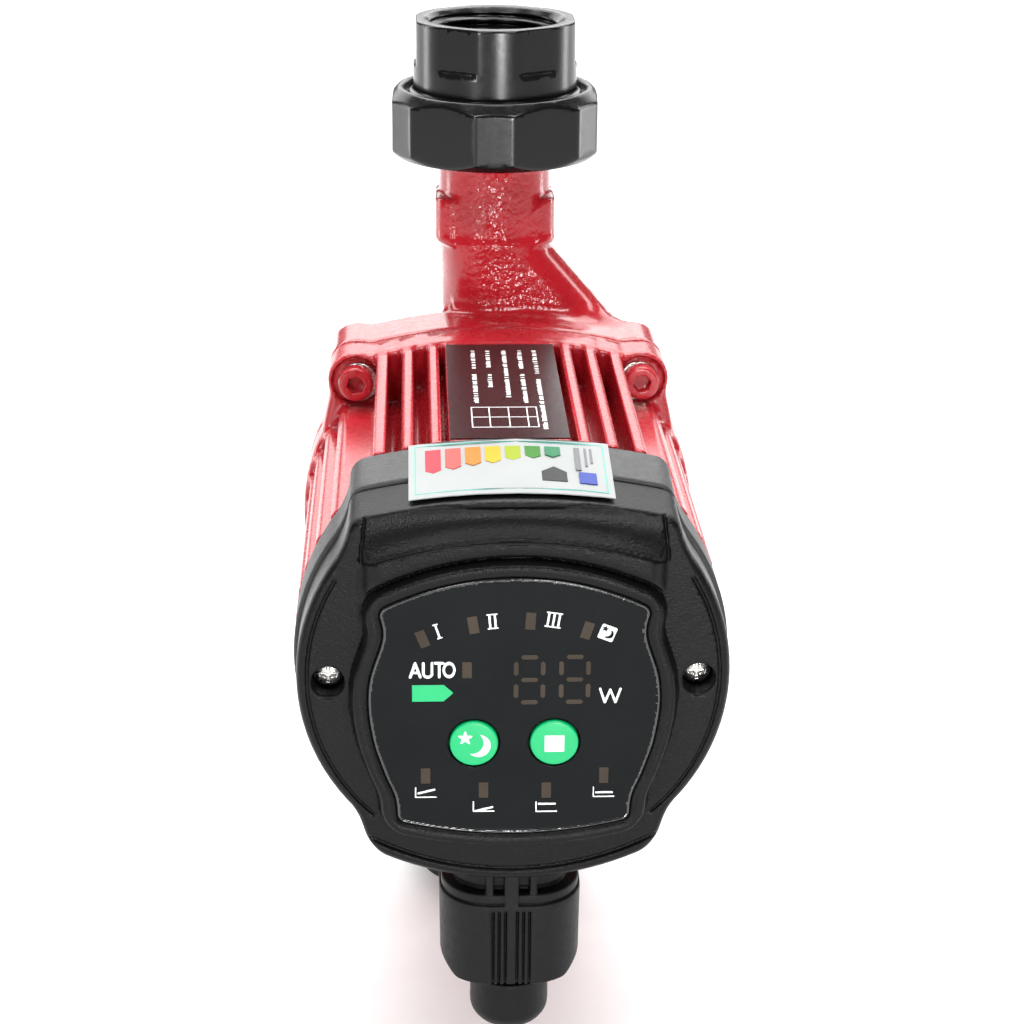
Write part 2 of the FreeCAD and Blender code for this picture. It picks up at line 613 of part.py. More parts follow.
def make_housing_screws():
    """Four M5 socket-head screws."""
    screws = []
    seat = "flange_front - spot_face_depth"
    for index, (x, y) in enumerate(corners_of("screw_offset")):
        head = cylinder(f"ScrewHead{index}", "screw_head_radius", seat, f"{seat} + screw_head_height", x, y)
        shank = cylinder(f"ScrewShank{index}", "screw_shank_radius", "split_face - screw_depth + 1",
                         f"{seat} + 1", x, y)
        recess = prism(f"ScrewSocket{index}", "hex_socket_flats", f"{seat} + screw_head_height - 2.5",
                       f"{seat} + screw_head_height + 1", 0, x, y)
        screws.append(cut(f"HousingScrew{index}", fuse(f"ScrewSolid{index}", [head, shank]), [recess]))
    node(group("HousingScrews", screws), "housing_screws", FORWARD)


def make_rating_label():
    node(block("RatingLabel", ("0.3 - pad_half_width", "pad_half_width - 0.3"),
               ("pad_height", "pad_height + 0.3"),
               ("flange_front + 1.2", "motor_end - 1")), "rating_label", FORWARD)


# --- Unions ---


def make_union(side, turn):
    """Gasket, tailpiece and nut of one union, along the pipe frame's +Z."""
    gasket_end = "port_face + gasket_thickness"
    collar_end = "port_face + gasket_thickness + collar_thickness"
    mouth = "axis_height + tail_chamfer"
    title = side.capitalize()
    node(ring(title + "Gasket", "gasket_bore", "collar_radius", "port_face", gasket_end), side + "_gasket",
         turn)

    thread_end = "axis_height - tail_thread_length"
    tail = lathe(title + "TailTurned", [
        ("tail_bore", gasket_end), ("collar_radius", gasket_end), ("collar_radius", collar_end),
        ("tail_radius", collar_end), ("tail_radius", f"{mouth} - 0.8"), ("tail_radius - 0.8", mouth),
        ("tail_mouth_radius", mouth), ("tail_thread_radius", "axis_height"),
                                        ("tail_thread_radius", thread_end),
        ("tail_bore", f"{thread_end} - 2")])
    across = prism(title + "TailHexagon", "tail_flats", f"{mouth} - tail_flats_length", f"{mouth} + 1", 30)
    rim = cylinder(title + "TailRim", "tail_radius + 5", f"{mouth} - tail_flats_length", f"{mouth} + 1")
    tail_part = cut(title + "Tailpiece", tail, [cut(title + "TailFlats", rim, [across])])
    node(tail_part, side + "_tailpiece", turn)

    nut = lathe(title + "NutTurned", [
        ("nut_thread_radius", "nut_start"), ("nut_flat_radius - 0.6", "nut_start"),
        ("nut_corner_radius", "nut_start + nut_foot_chamfer"),
                                      ("nut_corner_radius", "nut_end - nut_chamfer"),
        ("nut_rim_radius", "nut_end"), ("nut_counterbore_radius", "nut_end"),
        ("nut_counterbore_radius", "nut_end - nut_counterbore"),
                                      ("nut_lip_radius", "nut_end - nut_counterbore"),
        ("nut_lip_radius", "nut_end - nut_lip"), ("nut_thread_radius", "nut_end - nut_lip")])
    turned = size_of("nut_turned")
    wide = prism(title + "NutWideFlats", "2 * nut_flat_radius", "nut_start - 1", "nut_end + 1", turned)
    narrow = prism(title + "NutNarrowFlats", "2 * nut_narrow_radius", "nut_start - 1", "nut_end + 1",
                   turned + 30)
    node(common(title + "UnionNut", [nut, wide, narrow]), side + "_union_nut", turn)


# --- Control box ---


def ear_bosses(name, radius, start, end):
    return [cylinder(f"{name}{index}", radius, start, end, f"{side} * ear_screw_offset", 0)
            for index, side in enumerate((-1, 1))]


def socket_cutout(name, start, end):
    return block(name, ("-socket_half_width - 0.2", "socket_half_width + 0.2"),
                 ("-chin_depth - 2", "socket_top + 0.2"),
                 (start, end))


def make_box_base():
    """Rear shell of the control box, screwed to the motor housing."""
    solid = box_outline("BaseSolid", "box_base_radius", "motor_end", "box_seam")
    hollow = box_outline("BaseHollow", "box_base_radius", "motor_end + 2.5", "box_seam + 1", "box_wall")
    shell = cut("BaseShell", solid, [hollow])
    bosses = ear_bosses("BaseBoss", 4.0, "motor_end + 1", "box_seam")
    pillars = [cylinder(f"BasePillar{index}", 2.5, "motor_end + 2", "motor_end + 5", x, y)
               for index, (x, y) in enumerate(((-20, 33), (20, 33), (-18, -34), (18, -34)))]
    holes = ear_bosses("BaseTap", 1.5, "motor_end + 5", "box_seam + 1")
    holes += [cylinder(f"BoxScrewHole{index}", 1.7, "motor_end - 1", "motor_end + 4", x, y)
              for index, (x, y) in enumerate(corners_of("box_screw_offset"))]
    holes.append(block("TerminalHole", (-8, 8), (21, 28), ("motor_end - 1", "motor_end + 4")))
    holes.append(socket_cutout("BaseSocketHole", "plug_middle - socket_half_depth - 0.2", "box_seam + 1"))
    node(cut("BoxBase", fuse("BaseBody", [shell] + bosses + pillars), holes), "control_box_base", FORWARD)


def make_box_cover():
    """Front shell with two screw ears, a raised bezel and the openings behind the panel foil."""
    solid = box_outline("CoverSolid", "box_radius", "box_seam", "box_front")
    hollow = box_outline("CoverHollow", "box_radius", "box_seam - 1", "box_front - 2.5", "box_wall")
    bezel = panel_outline("Bezel", "bezel_half_width", "bezel_radius", "bezel_top", "box_front - 1",
                          "bezel_front")
    bosses = ear_bosses("CoverBoss", 5.6, "box_seam", "box_front")
    body = fuse("CoverBody", [cut("CoverShell", solid, [hollow]), bezel] + bosses)
    holes = [panel_outline("FoilSeat", "foil_half_width + 0.1", "foil_radius + 0.1", "foil_top + 0.1",
                           "bezel_front - foil_thickness", "bezel_front + 1")]
    holes += ear_bosses("EarRecess", "ear_hole_radius", "ear_hole_floor", "box_front + 1")
    holes += ear_bosses("EarHole", 1.8, "box_seam - 1", "ear_hole_floor + 1")
    holes += button_discs("ButtonHole", "button_radius + button_gap", "box_front - 4", "bezel_front + 1")
    holes.append(digit_window("DigitHole", 0.3, "box_front - 4", "bezel_front + 1"))
    holes += [block(f"LampHole{index}", (f"{x} - 1.9", f"{x} + 1.9"), (f"{y} - 2.3", f"{y} + 2.3"),
                    ("box_front - 4", "bezel_front + 1")) for index, (x, y) in enumerate(LAMPS)]
    holes.append(socket_cutout("CoverSocketHole", "box_seam - 1", "plug_middle + socket_half_depth + 0.2"))
    node(cut("BoxCover", body, holes), "control_box_cover", FORWARD)


def panel_outline(name, half_width, radius, top, start, end):
    """Bezel, foil and display board: round sides and bottom, straight flanks, a flatter upper edge."""
    disc = cylinder(name + "Disc", radius, start, end)
    middle = block(name + "Middle", (f"-({half_width})", half_width), (-60, 60), (start, end))
    upper = cylinder(name + "Top", "panel_crown", start, end, 0, f"{top} - panel_crown")
    return common(name, [disc, middle, upper])


def button_discs(name, radius, start, end):
    return [cylinder(f"{name}{index}", radius, start, end, f"{side} * button_offset", "-button_drop")
            for index, side in enumerate((-1, 1))]


def digit_window(name, gap, start, end):
    return block(name, (f"window_right - window_half_width - {gap}",
                        f"window_right + window_half_width + {gap}"),
                 (f"window_up - window_half_height - {gap}", f"window_up + window_half_height + {gap}"),
                 (start, end))


def make_panel():
    """The panel foil and the two buttons that stand in its openings."""
    foil = panel_outline("FoilPlate", "foil_half_width", "foil_radius", "foil_top",
                         "bezel_front - foil_thickness",
                         "bezel_front")
    holes = button_discs("FoilHole", "button_radius + button_gap", "bezel_front - 1", "bezel_front + 1")
    node(cut("PanelFoil", foil, holes), "panel_foil", FORWARD)
    for disc, label in zip(button_discs("Button", "button_radius", "button_back", "button_face"),
                           ("button_night", "button_mode")):
        node(disc, label, FORWARD)


def make_cover_screws():
    screws = []
    for index, side in enumerate((-1, 1)):
        x = f"{side} * ear_screw_offset"
        head = cylinder(f"CoverScrewHead{index}", 3.0, "ear_hole_floor", "ear_hole_floor + 2.2", x, 0)
        shank = cylinder(f"CoverScrewShank{index}", 1.5, "motor_end + 6", "ear_hole_floor + 1", x, 0)
        slot = block(f"CoverScrewSlot{index}", (f"{x} - 2", f"{x} + 2"), (-0.4, 0.4),
                     ("ear_hole_floor + 1.2", "ear_hole_floor + 4"))
        cross = block(f"CoverScrewCross{index}", (f"{x} - 0.4", f"{x} + 0.4"), (-2, 2),
                      ("ear_hole_floor + 1.2", "ear_hole_floor + 4"))
        screws.append(cut(f"CoverScrew{index}", fuse(f"CoverScrewSolid{index}", [head, shank]),
                          [slot, cross]))
    node(group("CoverScrews", screws), "cover_screws", FORWARD)


def make_box_screws():
    """Four screws inside the base that hold the control box to the motor housing."""
    screws = []
    for index, (x, y) in enumerate(corners_of("box_screw_offset")):
        head = cylinder(f"BoxScrewHead{index}", 3.0, "motor_end + 2.5", "motor_end + 4.3", x, y)
        shank = cylinder(f"BoxScrewShank{index}", 1.5, "motor_end - 8", "motor_end + 3", x, y)
        screws.append(fuse(f"BoxScrew{index}", [head, shank]))
    node(group("BoxScrews", screws), "box_screws", FORWARD)


def make_cover_seal():
    outer = box_outline("SealOuter", "box_radius", "box_seam - 1.5", "box_seam + 1.5", "(box_wall + 0.05)")
    inner = box_outline("SealInner", "box_radius", "box_seam - 2", "box_seam + 2", "(box_wall + 1.1)")
    bosses = ear_bosses("SealBoss", 5.7, "box_seam - 2", "box_seam + 2")
    gap = socket_cutout("SealSocketGap", "box_seam - 3", "box_seam + 3")
    node(cut("CoverSeal", outer, [inner, gap] + bosses), "cover_seal", FORWARD)


def make_electronics():
    """Power board with its parts behind, display board with its parts in front."""
    board = box_outline("PowerBoardBlank", "box_base_radius", "motor_end + 5", "motor_end + 6.6",
                        "(box_wall + 1.5)")
    board_holes = ear_bosses("PowerBoardNotch", 4.6, "motor_end + 4", "motor_end + 8")
    board_holes.append(socket_cutout("PowerBoardSocketNotch", "motor_end + 4", "motor_end + 8"))
    board_holes.append(block("PowerBoardTerminals", (-6.5, 6.5), (23, 25.8),
                             ("motor_end + 4", "motor_end + 8")))
    node(cut("PowerBoard", board, board_holes), "power_board", FORWARD)
    face = "motor_end + 6.6"
    capacitors = [cylinder(f"Capacitor{index}", 5.5, face, f"{face} + 13", x, 8) for index,
                  x in enumerate((-26, -13))]
    node(group("Capacitors", capacitors), "capacitors", FORWARD)
    core = cylinder("ChokeCore", 8.0, face, f"{face} + 8", 22, -16)
    core_bore = cylinder("ChokeBore", 3.2, f"{face} - 1", f"{face} + 9", 22, -16)
    node(cut("Choke", core, [core_bore]), "choke", FORWARD)
    node(block("DriverModule", (4, 28), (0, 12), (face, f"{face} + 4")), "driver_module", FORWARD)

    display_face = "box_front - 3.4"
    outline = panel_outline("DisplayBoardBlank", "foil_half_width", "foil_radius - 1", "foil_top",
                            "box_front - 5",
                            display_face)
    node(outline, "display_board", FORWARD)
    switches = []
    for index, side in enumerate((-1, 1)):
        x = f"{side} * button_offset"
        body = block(f"SwitchBody{index}", (f"{x} - 3", f"{x} + 3"),
                     ("-button_drop - 3", "3 - button_drop"),
                     (display_face, f"{display_face} + 4"))
        tip = cylinder(f"SwitchTip{index}", 1.7, f"{display_face} + 3.5", "button_back - 0.65", x,
                       "-button_drop")
        switches.append(fuse(f"Switch{index}", [body, tip]))
    node(group("TactSwitches", switches), "tact_switches", FORWARD)
    node(digit_window("DigitDisplay", 0, display_face, "bezel_front - foil_thickness"), "digit_display",
         FORWARD)
    lamps = [block(f"Lamp{index}", (f"{x} - 1.6", f"{x} + 1.6"), (f"{y} - 2", f"{y} + 2"),
                   (display_face, f"{display_face} + 5.4")) for index, (x, y) in enumerate(LAMPS)]
    node(group("IndicatorLamps", lamps), "indicator_lamps", FORWARD)


def make_energy_label():
    """Sticker on the crowned top of the control box, over base and cover."""
    film = ring("EnergyFilm", "top_crown", "top_crown + sticker_thickness", 0, "sticker_length")
    sides = block("EnergySides", ("-sticker_half_width", "sticker_half_width"),
                  ("top_crown - 10", "top_crown + 1"),
                  (0, "sticker_length"))
    sticker = common("EnergySticker", [film, sides])
    place_on_crown(sticker, 0.4)
    node(group("EnergyPlaced", [sticker]), "energy_label", FORWARD)


# --- Mains plug ---


def plug_column(name, half_width, half_depth, bottom, top):
    """An upright block of the plug, given by its heights above the motor axis."""
    return block(name, (f"-({half_width})", half_width), (bottom, top),
                 (f"plug_middle - ({half_depth})", f"plug_middle + ({half_depth})"))


def upright_cylinder(name, radius, bottom, top, x=0):
    """A cylinder along the pump's Z on the plug's axis, given in the motor frame."""
    thing = cylinder(name, radius, 0, f"({top}) - ({bottom})")
    place(thing, (x, bottom, "plug_middle"), FreeCAD.Rotation(V(1, 0, 0), -90))
    return thing


def pins(name, radius, bottom, top):
    return [upright_cylinder(f"{name}{index}", radius, bottom, top,
                             f"{index - 1} * pin_pitch") for index in range(3)]


def make_mains_socket():
    """Shroud and three pins under the control box."""
    shroud = plug_column("SocketShroud", "socket_half_width", "socket_half_depth", "socket_mouth",
                         "socket_top")
    hollow = plug_column("SocketHollow", "socket_half_width - 1.5", "socket_half_depth - 1.5",
                         "socket_mouth - 1",
                         "socket_top - 2.5")
    body = fuse("MainsSocket", [cut("SocketCup", shroud, [hollow])]
                + pins("SocketPin", "pin_radius", "socket_mouth + 1", "socket_top + 3"))
    node(body, "mains_socket", FORWARD)


def plug_column_rounded(name, inset, bottom, top):
    """The plug's outline, with two large front corners, set in by inset."""
    half_width = f"(plug_half_width - {inset})"
    corner = f"(plug_corner - {inset})"
    back = f"(plug_middle - plug_half_depth + {inset})"
    front = f"(plug_middle + plug_half_depth - {inset})"
    rear = block(name + "Rear", (f"-{half_width}", half_width), (bottom, top),
                 (back, f"{front} - {corner}"))
    middle = block(name + "Middle", (f"{corner} - {half_width}", f"{half_width} - {corner}"), (bottom, top),
                   (back, front))
    corners = []
    for index, side in enumerate((-1, 1)):
        post = cylinder(f"{name}Corner{index}", corner, 0, f"({top}) - ({bottom})")
        place(post, (f"{side} * ({half_width} - {corner})", bottom, f"{front} - {corner}"),
              FreeCAD.Rotation(V(1, 0, 0), -90))
        corners.append(post)
    return fuse(name, [rear, middle] + corners)


def make_plug():
    """Installer plug: a body with a rounded front, a narrower collar and foot, and a nose for the socket."""
    outer = plug_column_rounded("PlugOuter", "0", "plug_bottom + plug_taper", "plug_shoulder")
    collar = plug_column_rounded("PlugCollar", "plug_taper / 2", "plug_shoulder - 1", "plug_top")
    foot = plug_column_rounded("PlugFoot", "plug_taper", "plug_bottom", "plug_bottom + plug_taper + 1")
    nose = plug_column("PlugNose", "socket_half_width - 2", "socket_half_depth - 2", "plug_top - 1",
                       "socket_top - 4")
    spigot = upright_cylinder("PlugSpigot", "gland_thread_radius - 0.1", "plug_bottom - 5.5",
                              "plug_bottom + 1")
    body = fuse("PlugSolid", [outer, collar, foot, nose, spigot])
    chamber = plug_column_rounded("PlugChamber", "plug_wall", "plug_bottom + 6",
                                  "plug_shoulder - plug_wall")
    upper_chamber = plug_column_rounded("PlugUpperChamber", "(plug_taper / 2 + plug_wall)",
                                        "plug_shoulder - plug_wall - 1", "plug_top - 3")
    seal_bore = upright_cylinder("SealBore", "gland_thread_radius - 1.6", "plug_bottom - 6",
                                 "plug_bottom + 7")
    front = "plug_middle + plug_half_depth"
    grooves = [block(f"PlugGroove{index}", (f"{across} - 0.25", f"{across} + 0.25"),
                     ("plug_bottom + plug_taper + 2", "plug_shoulder - 1"),
                     (f"{front} - plug_groove_depth", f"{front} + 1"))
               for index, across in enumerate((-4.45, -3.0, -1.3, 1.3, 3.0, 4.45))]
    pin_holes = pins("PlugPinHole", "pin_radius + 0.3", "plug_top - 4", "socket_top")
    node(cut("PlugBody", body, [chamber, upper_chamber, seal_bore] + grooves + pin_holes), "plug_body",
         FORWARD)
    clamps = []
    for index in range(3):
        x = f"{index - 1} * pin_pitch"
        clamps.append(block(f"PlugContact{index}", (f"{x} - 2", f"{x} + 2"),
                            ("plug_top - 15", "plug_top - 3"),
                            ("plug_middle - 3", "plug_middle + 3")))
    node(group("PlugContacts", clamps), "plug_contacts", FORWARD)


def make_gland():
    """Rubber seal and domed nut that grip the cable."""
    seal = upright_cylinder("SealOuterRing", "gland_thread_radius - 1.9", "plug_bottom - 8",
                            "plug_bottom - 1")
    hole = upright_cylinder("SealHole", 3.6, "plug_bottom - 9", "plug_bottom")
    node(cut("GlandSeal", seal, [hole]), "gland_seal", FORWARD)
    skirt = upright_cylinder("GlandSkirt", "gland_radius", "gland_end + 4", "plug_bottom - 0.5")
    dome = doc.addObject("Part::Cone", "GlandDome")
    bind(dome, {"Radius1": "gland_radius", "Radius2": "gland_radius - 2.6", "Height": "4"})
    place(dome, (0, "gland_end + 4", "plug_middle"), FreeCAD.Rotation(V(1, 0, 0), 90))
    thread = upright_cylinder("GlandThread", "gland_thread_radius", "plug_bottom - 8.4", "plug_bottom")
    entry = upright_cylinder("CableEntry", "cable_entry_radius", "gland_end - 1", "plug_bottom")
    node(cut("GlandNut", fuse("GlandSolid", [skirt, dome]), [thread, entry]), "gland_nut", FORWARD)


def check_document():
    doc.recompute()
    for thing in doc.Objects:
        if "Invalid" in thing.State or "Error" in thing.State:
            raise RuntimeError(f"{thing.Name} failed: {thing.State}")
    for thing in nodes:
        if thing.Shape.isNull() or not thing.Shape.isValid() or not thing.Shape.Solids:
            raise RuntimeError(f"{thing.Label} has no valid solid")


def export_nodes():
    os.makedirs("parts", exist_ok=True)
    for thing in nodes:
        thing.Shape.exportStep(f"parts/{thing.Label}.step")
        print(f"{thing.Label}: {len(thing.Shape.Solids)} solids, {thing.Shape.Volume:.0f} mm3")


fill_sheet()
make_pump_housing()
make_wear_ring()
make_impeller()
make_bearing_plate()
make_bearings()
make_rotor()
make_rotor_can()
make_stator()
make_motor_terminals()
make_motor_housing()
make_housing_screws()
make_rating_label()
make_union("outlet", UPRIGHT)
make_union("inlet", DOWNWARD)
make_box_base()
make_box_cover()
make_panel()
make_cover_screws()
make_box_screws()
make_cover_seal()
make_electronics()
make_energy_label()
make_mains_socket()
make_plug()
make_gland()
check_document()
export_nodes()
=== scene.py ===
import math
import json
from functools import reduce
from itertools import product
import bmesh
import bpy
import numpy as np
import openvdb
from mathutils import Matrix, Vector


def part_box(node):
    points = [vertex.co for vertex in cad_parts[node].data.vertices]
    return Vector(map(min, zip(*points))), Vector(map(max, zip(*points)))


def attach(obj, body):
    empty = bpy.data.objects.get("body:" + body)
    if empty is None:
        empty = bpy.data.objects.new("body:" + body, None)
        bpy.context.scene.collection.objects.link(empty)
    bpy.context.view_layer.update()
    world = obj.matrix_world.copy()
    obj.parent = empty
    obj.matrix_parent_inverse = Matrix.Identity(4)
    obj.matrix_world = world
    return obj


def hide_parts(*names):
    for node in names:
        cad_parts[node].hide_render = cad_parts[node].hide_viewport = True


# Circulator pump. Shapes are worked out in millimetres in the motor frame: x to the right, y up from
# the motor axis, z forward from the pipe axis. Castings and mouldings are signed distance fields,
# so that their edges and inside corners have real radii, and are meshed from those fields.

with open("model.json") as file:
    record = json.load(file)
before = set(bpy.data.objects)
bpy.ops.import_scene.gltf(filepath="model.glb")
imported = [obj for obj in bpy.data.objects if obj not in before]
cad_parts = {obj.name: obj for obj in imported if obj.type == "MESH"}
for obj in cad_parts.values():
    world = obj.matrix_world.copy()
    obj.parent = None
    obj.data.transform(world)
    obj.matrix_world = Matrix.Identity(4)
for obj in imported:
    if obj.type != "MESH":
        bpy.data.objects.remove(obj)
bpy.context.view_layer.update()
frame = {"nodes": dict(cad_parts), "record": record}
MM = 0.001
AXIS = sum(corner.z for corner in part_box("rotor_magnet")) / 2 / MM      # height of the motor axis


def span(node, axis):
    """Low and high side of a CAD node in the motor frame: axis 0 across, 1 up, 2 forward."""
    low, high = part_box(node)
    if axis == 0:
        return low.x / MM, high.x / MM
    if axis == 1:
        return low.z / MM - AXIS, high.z / MM - AXIS
    return -high.y / MM, -low.y / MM


def to_world(points):
    """Motor frame millimetres to the frame's metres."""
    points = np.asarray(points, float)
    return np.stack([points[:, 0], -points[:, 2], points[:, 1] + AXIS], 1) * MM


# --- Distance fields ---


class Grid:
    """Sample places in the motor frame, as three arrays that broadcast against each other."""

    def __init__(self, low, high, step):
        self.step = step
        self.low = np.array(low, float) - 2.5 * step
        counts = np.ceil((np.array(high, float) + 2.5 * step - self.low) / step).astype(int) + 1
        self.counts = tuple(counts)
        shapes = ((-1, 1, 1), (1, -1, 1), (1, 1, -1))
        self.x, self.y, self.z = [
            (self.low[i] + step * np.arange(counts[i])).astype(np.float32).reshape(shapes[i]) for i in range(3)]


def join(a, b, radius):
    """Union with a fillet."""
    rise = np.hypot(np.maximum(radius - a, 0), np.maximum(radius - b, 0))
    return np.maximum(radius, np.minimum(a, b)) - rise


def meet(a, b, radius):
    """Intersection with a rounded edge."""
    rise = np.hypot(np.maximum(radius + a, 0), np.maximum(radius + b, 0))
    return np.minimum(-radius, np.maximum(a, b)) + rise


def carve(body, *cuts):
    """Cut fields away, each followed by its edge radius."""
    for tool, radius in zip(cuts[::2], cuts[1::2]):
        body = meet(body, -tool, radius)
    return body


def either(*fields):
    """Sharp union."""
    return reduce(np.minimum, fields)


def both(*fields):
    """Sharp intersection."""
    return reduce(np.maximum, fields)


def slab(t, low, high):
    return np.maximum(low - t, t - high)


def disc(u, v, cu, cv, radius):
    return np.hypot(u - cu, v - cv) - radius


def rectangle(u, v, cu, cv, half_u, half_v, corner):
    du = np.abs(u - cu) - half_u + corner
    dv = np.abs(v - cv) - half_v + corner
    return np.hypot(np.maximum(du, 0), np.maximum(dv, 0)) + np.minimum(np.maximum(du, dv), 0) - corner


def sample(values, places):
    """Trilinear lookup of an array at fractional indices."""
    low = np.clip(np.floor(places).astype(int), 0, np.array(values.shape) - 2)
    part = np.clip(places - low, 0, 1)
    total = np.zeros(len(places))
    for corner in range(8):
        offset = np.array([corner & 1, corner >> 1 & 1, corner >> 2 & 1])
        weight = np.prod(np.where(offset, part, 1 - part), axis=1)
        index = low + offset
        total += weight * values[index[:, 0], index[:, 1], index[:, 2]]
    return total


def mesh_field(name, grid, values, adaptivity=0.0):
    """Mesh the zero level of a field, pull its points onto the level and keep the field's own normals."""
    values = np.ascontiguousarray(np.broadcast_to(values, grid.counts), dtype=np.float32)
    level = openvdb.FloatGrid(float(3 * grid.step))
    level.copyFromArray(np.clip(values, -3 * grid.step, 3 * grid.step))
    places, triangles, quads = level.convertToPolygons(0.0, adaptivity)
    places = places.astype(float)
    for turn in range(3):
        slopes = np.stack([(sample(values, places + step) - sample(values, places - step))
                           for step in np.eye(3) * 0.5], 1)
        if turn == 2:
            break
        share = sample(values, places) / np.maximum((slopes ** 2).sum(1), 1e-6)
        shift = slopes * share[:, None]
        length = np.linalg.norm(shift, axis=1, keepdims=True)
        places = places - shift * np.minimum(1, 0.5 / np.maximum(length, 1e-6))
    normals = slopes / np.maximum(np.linalg.norm(slopes, axis=1, keepdims=True), 1e-6)
    points = to_world(grid.low + places * grid.step)
    normals = np.stack([normals[:, 0], -normals[:, 2], normals[:, 1]], 1)
    faces = [list(map(int, t[::-1])) for t in triangles] + [list(map(int, q[::-1])) for q in quads]
    mesh = bpy.data.meshes.new(name)
    mesh.from_pydata(points.tolist(), [], faces)
    mesh.update()
    across = sum(face.area * face.normal.dot(Vector(normals[face.vertices[0]])) for face in mesh.polygons[:400])
    if across < 0:
        mesh.flip_normals()
    mesh.shade_smooth()
    mesh.normals_split_custom_set_from_vertices(normals.tolist())
    return mesh


def add_object(name, data):
    item = bpy.data.objects.new(name, data)
    bpy.context.scene.collection.objects.link(item)
    return item


def copied(mesh, name, transform):
    copy = mesh.copy()
    copy.name = name
    copy.transform(transform)
    return copy


def place_piece(mesh, material, slot, *nodes, body="pump"):
    """Show a mesh as a piece of a body, in place of the given CAD nodes."""
    piece = add_object(mesh.name, mesh)
    mesh.materials.clear()
    mesh.materials.append(material)
    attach(piece, body)
    if nodes:
        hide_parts(*nodes)
    return piece


# --- Materials ---

PATCH_TONES = 0.3, 0.7              # noise values between which a patch goes from one tone to the other
CAST_FACE = -0.70, -0.97            # the normal's lean to the front over which the cast texture fades in


def set_inputs(node, *pairs):
    """Set sockets of a node, given as name, value, name, value."""
    for socket, value in zip(pairs[::2], pairs[1::2]):
        node.inputs[socket].default_value = value


def map_range(nodes, start, end, low=0.0, high=1.0):
    node = nodes.new("ShaderNodeMapRange")
    set_inputs(node, "From Min", start, "From Max", end, "To Min", low, "To Max", high)
    return node


def make_material(name, colour, roughness, metallic=0.0, coat=0.0, grain=(), shade=0.12, polish=0.1,
                  patch=90.0, specular=0.5, cast_face=False):
    """A painted, moulded or metal surface.

    grain lists the features per metre and the height in mm of each bump; shade and polish are how far colour and
    roughness wander over patches of the given fineness; cast_face keeps the first bump to forward faces.
    """
    material = bpy.data.materials.new(name)
    material.use_nodes = True
    nodes, links = material.node_tree.nodes, material.node_tree.links
    shader = nodes["Principled BSDF"]
    set_inputs(shader, "Metallic", metallic, "Coat Weight", coat, "Coat Roughness", 0.08,
               "Specular IOR Level", specular)
    where = nodes.new("ShaderNodeTexCoord")

    def noise(scale, detail):
        texture = nodes.new("ShaderNodeTexNoise")
        set_inputs(texture, "Scale", scale, "Detail", detail)
        links.new(where.outputs["Object"], texture.inputs["Vector"])
        return texture.outputs["Fac"]

    wander = noise(patch, 4)
    ramp = nodes.new("ShaderNodeValToRGB")
    for element, position, tone in zip(ramp.color_ramp.elements, PATCH_TONES, (1 - shade, 1 + shade)):
        element.position = position
        element.color = [min(1, c * tone) for c in colour] + [1]
    links.new(wander, ramp.inputs["Fac"])
    links.new(ramp.outputs["Color"], shader.inputs["Base Color"])
    matt = map_range(nodes, *PATCH_TONES, max(0.02, roughness * (1 - polish)), min(1, roughness * (1 + polish)))
    links.new(noise(patch * 7, 3), matt.inputs["Value"])
    links.new(matt.outputs["Result"], shader.inputs["Roughness"])
    ahead = None
    if cast_face:
        parts = nodes.new("ShaderNodeSeparateXYZ")
        links.new(where.outputs["Normal"], parts.inputs["Vector"])
        ahead = map_range(nodes, *CAST_FACE)
        links.new(parts.outputs["Y"], ahead.inputs["Value"])
    normal = None
    for scale, height in zip(grain[::2], grain[1::2]):
        bump = nodes.new("ShaderNodeBump")
        set_inputs(bump, "Distance", height * MM, "Strength", 1.0)
        links.new(noise(scale, 2), bump.inputs["Height"])
        if normal:
            links.new(normal, bump.inputs["Normal"])
        elif ahead:
            links.new(ahead.outputs["Result"], bump.inputs["Strength"])
        normal = bump.outputs["Normal"]
    if normal:
        links.new(normal, shader.inputs["Normal"])
        links.new(normal, shader.inputs["Coat Normal"])
    return material


RED_CAST = make_material("cast_iron_red_paint", (0.40, 0.010, 0.017), 0.26, coat=0.65,
                         grain=(620, 0.42, 1500, 0.02), polish=0.3, specular=0.2, cast_face=True)
RED_DIE = make_material("die_cast_red_paint", (0.42, 0.012, 0.020), 0.28, coat=0.25,
                        grain=(1500, 0.035), polish=0.2)
BLACK_METAL = make_material("union_black_coating", (0.004, 0.004, 0.0045), 0.22,
                            grain=(900, 0.006), polish=0.15, specular=0.4)
BLACK_PLASTIC = make_material("box_black_plastic", (0.0042, 0.0042, 0.0045), 0.33,
                              grain=(2200, 0.12), polish=0.12, specular=0.16)
BASE_PLASTIC = make_material("base_black_plastic", (0.036, 0.036, 0.037), 0.50,
                             grain=(2000, 0.13), polish=0.12, specular=0.45)
PLUG_PLASTIC = make_material("plug_black_plastic", (0.0045, 0.0045, 0.005), 0.50,
                             grain=(2600, 0.04), polish=0.1, specular=0.2)
PANEL_FILM = make_material("panel_film", (0.0055, 0.0068, 0.0074), 0.36, grain=(3200, 0.012), polish=0.08,
                           specular=0.09)
GLOSS_EDGE = make_material("panel_edge_gloss", (0.02, 0.02, 0.02), 0.10, grain=(900, 0.06), coat=0.6)
PRINT_WHITE = make_material("white_print", (0.92, 0.93, 0.93), 0.45, grain=(3000, 0.004), shade=0.03)
PRINT_GREEN = make_material("green_print", (0.0, 0.44, 0.145), 0.34, grain=(2600, 0.006), shade=0.04)
LAMP_GLASS = make_material("unlit_lamp_window", (0.042, 0.030, 0.020), 0.40, grain=(2600, 0.02), shade=0.2,
                           specular=0.2)
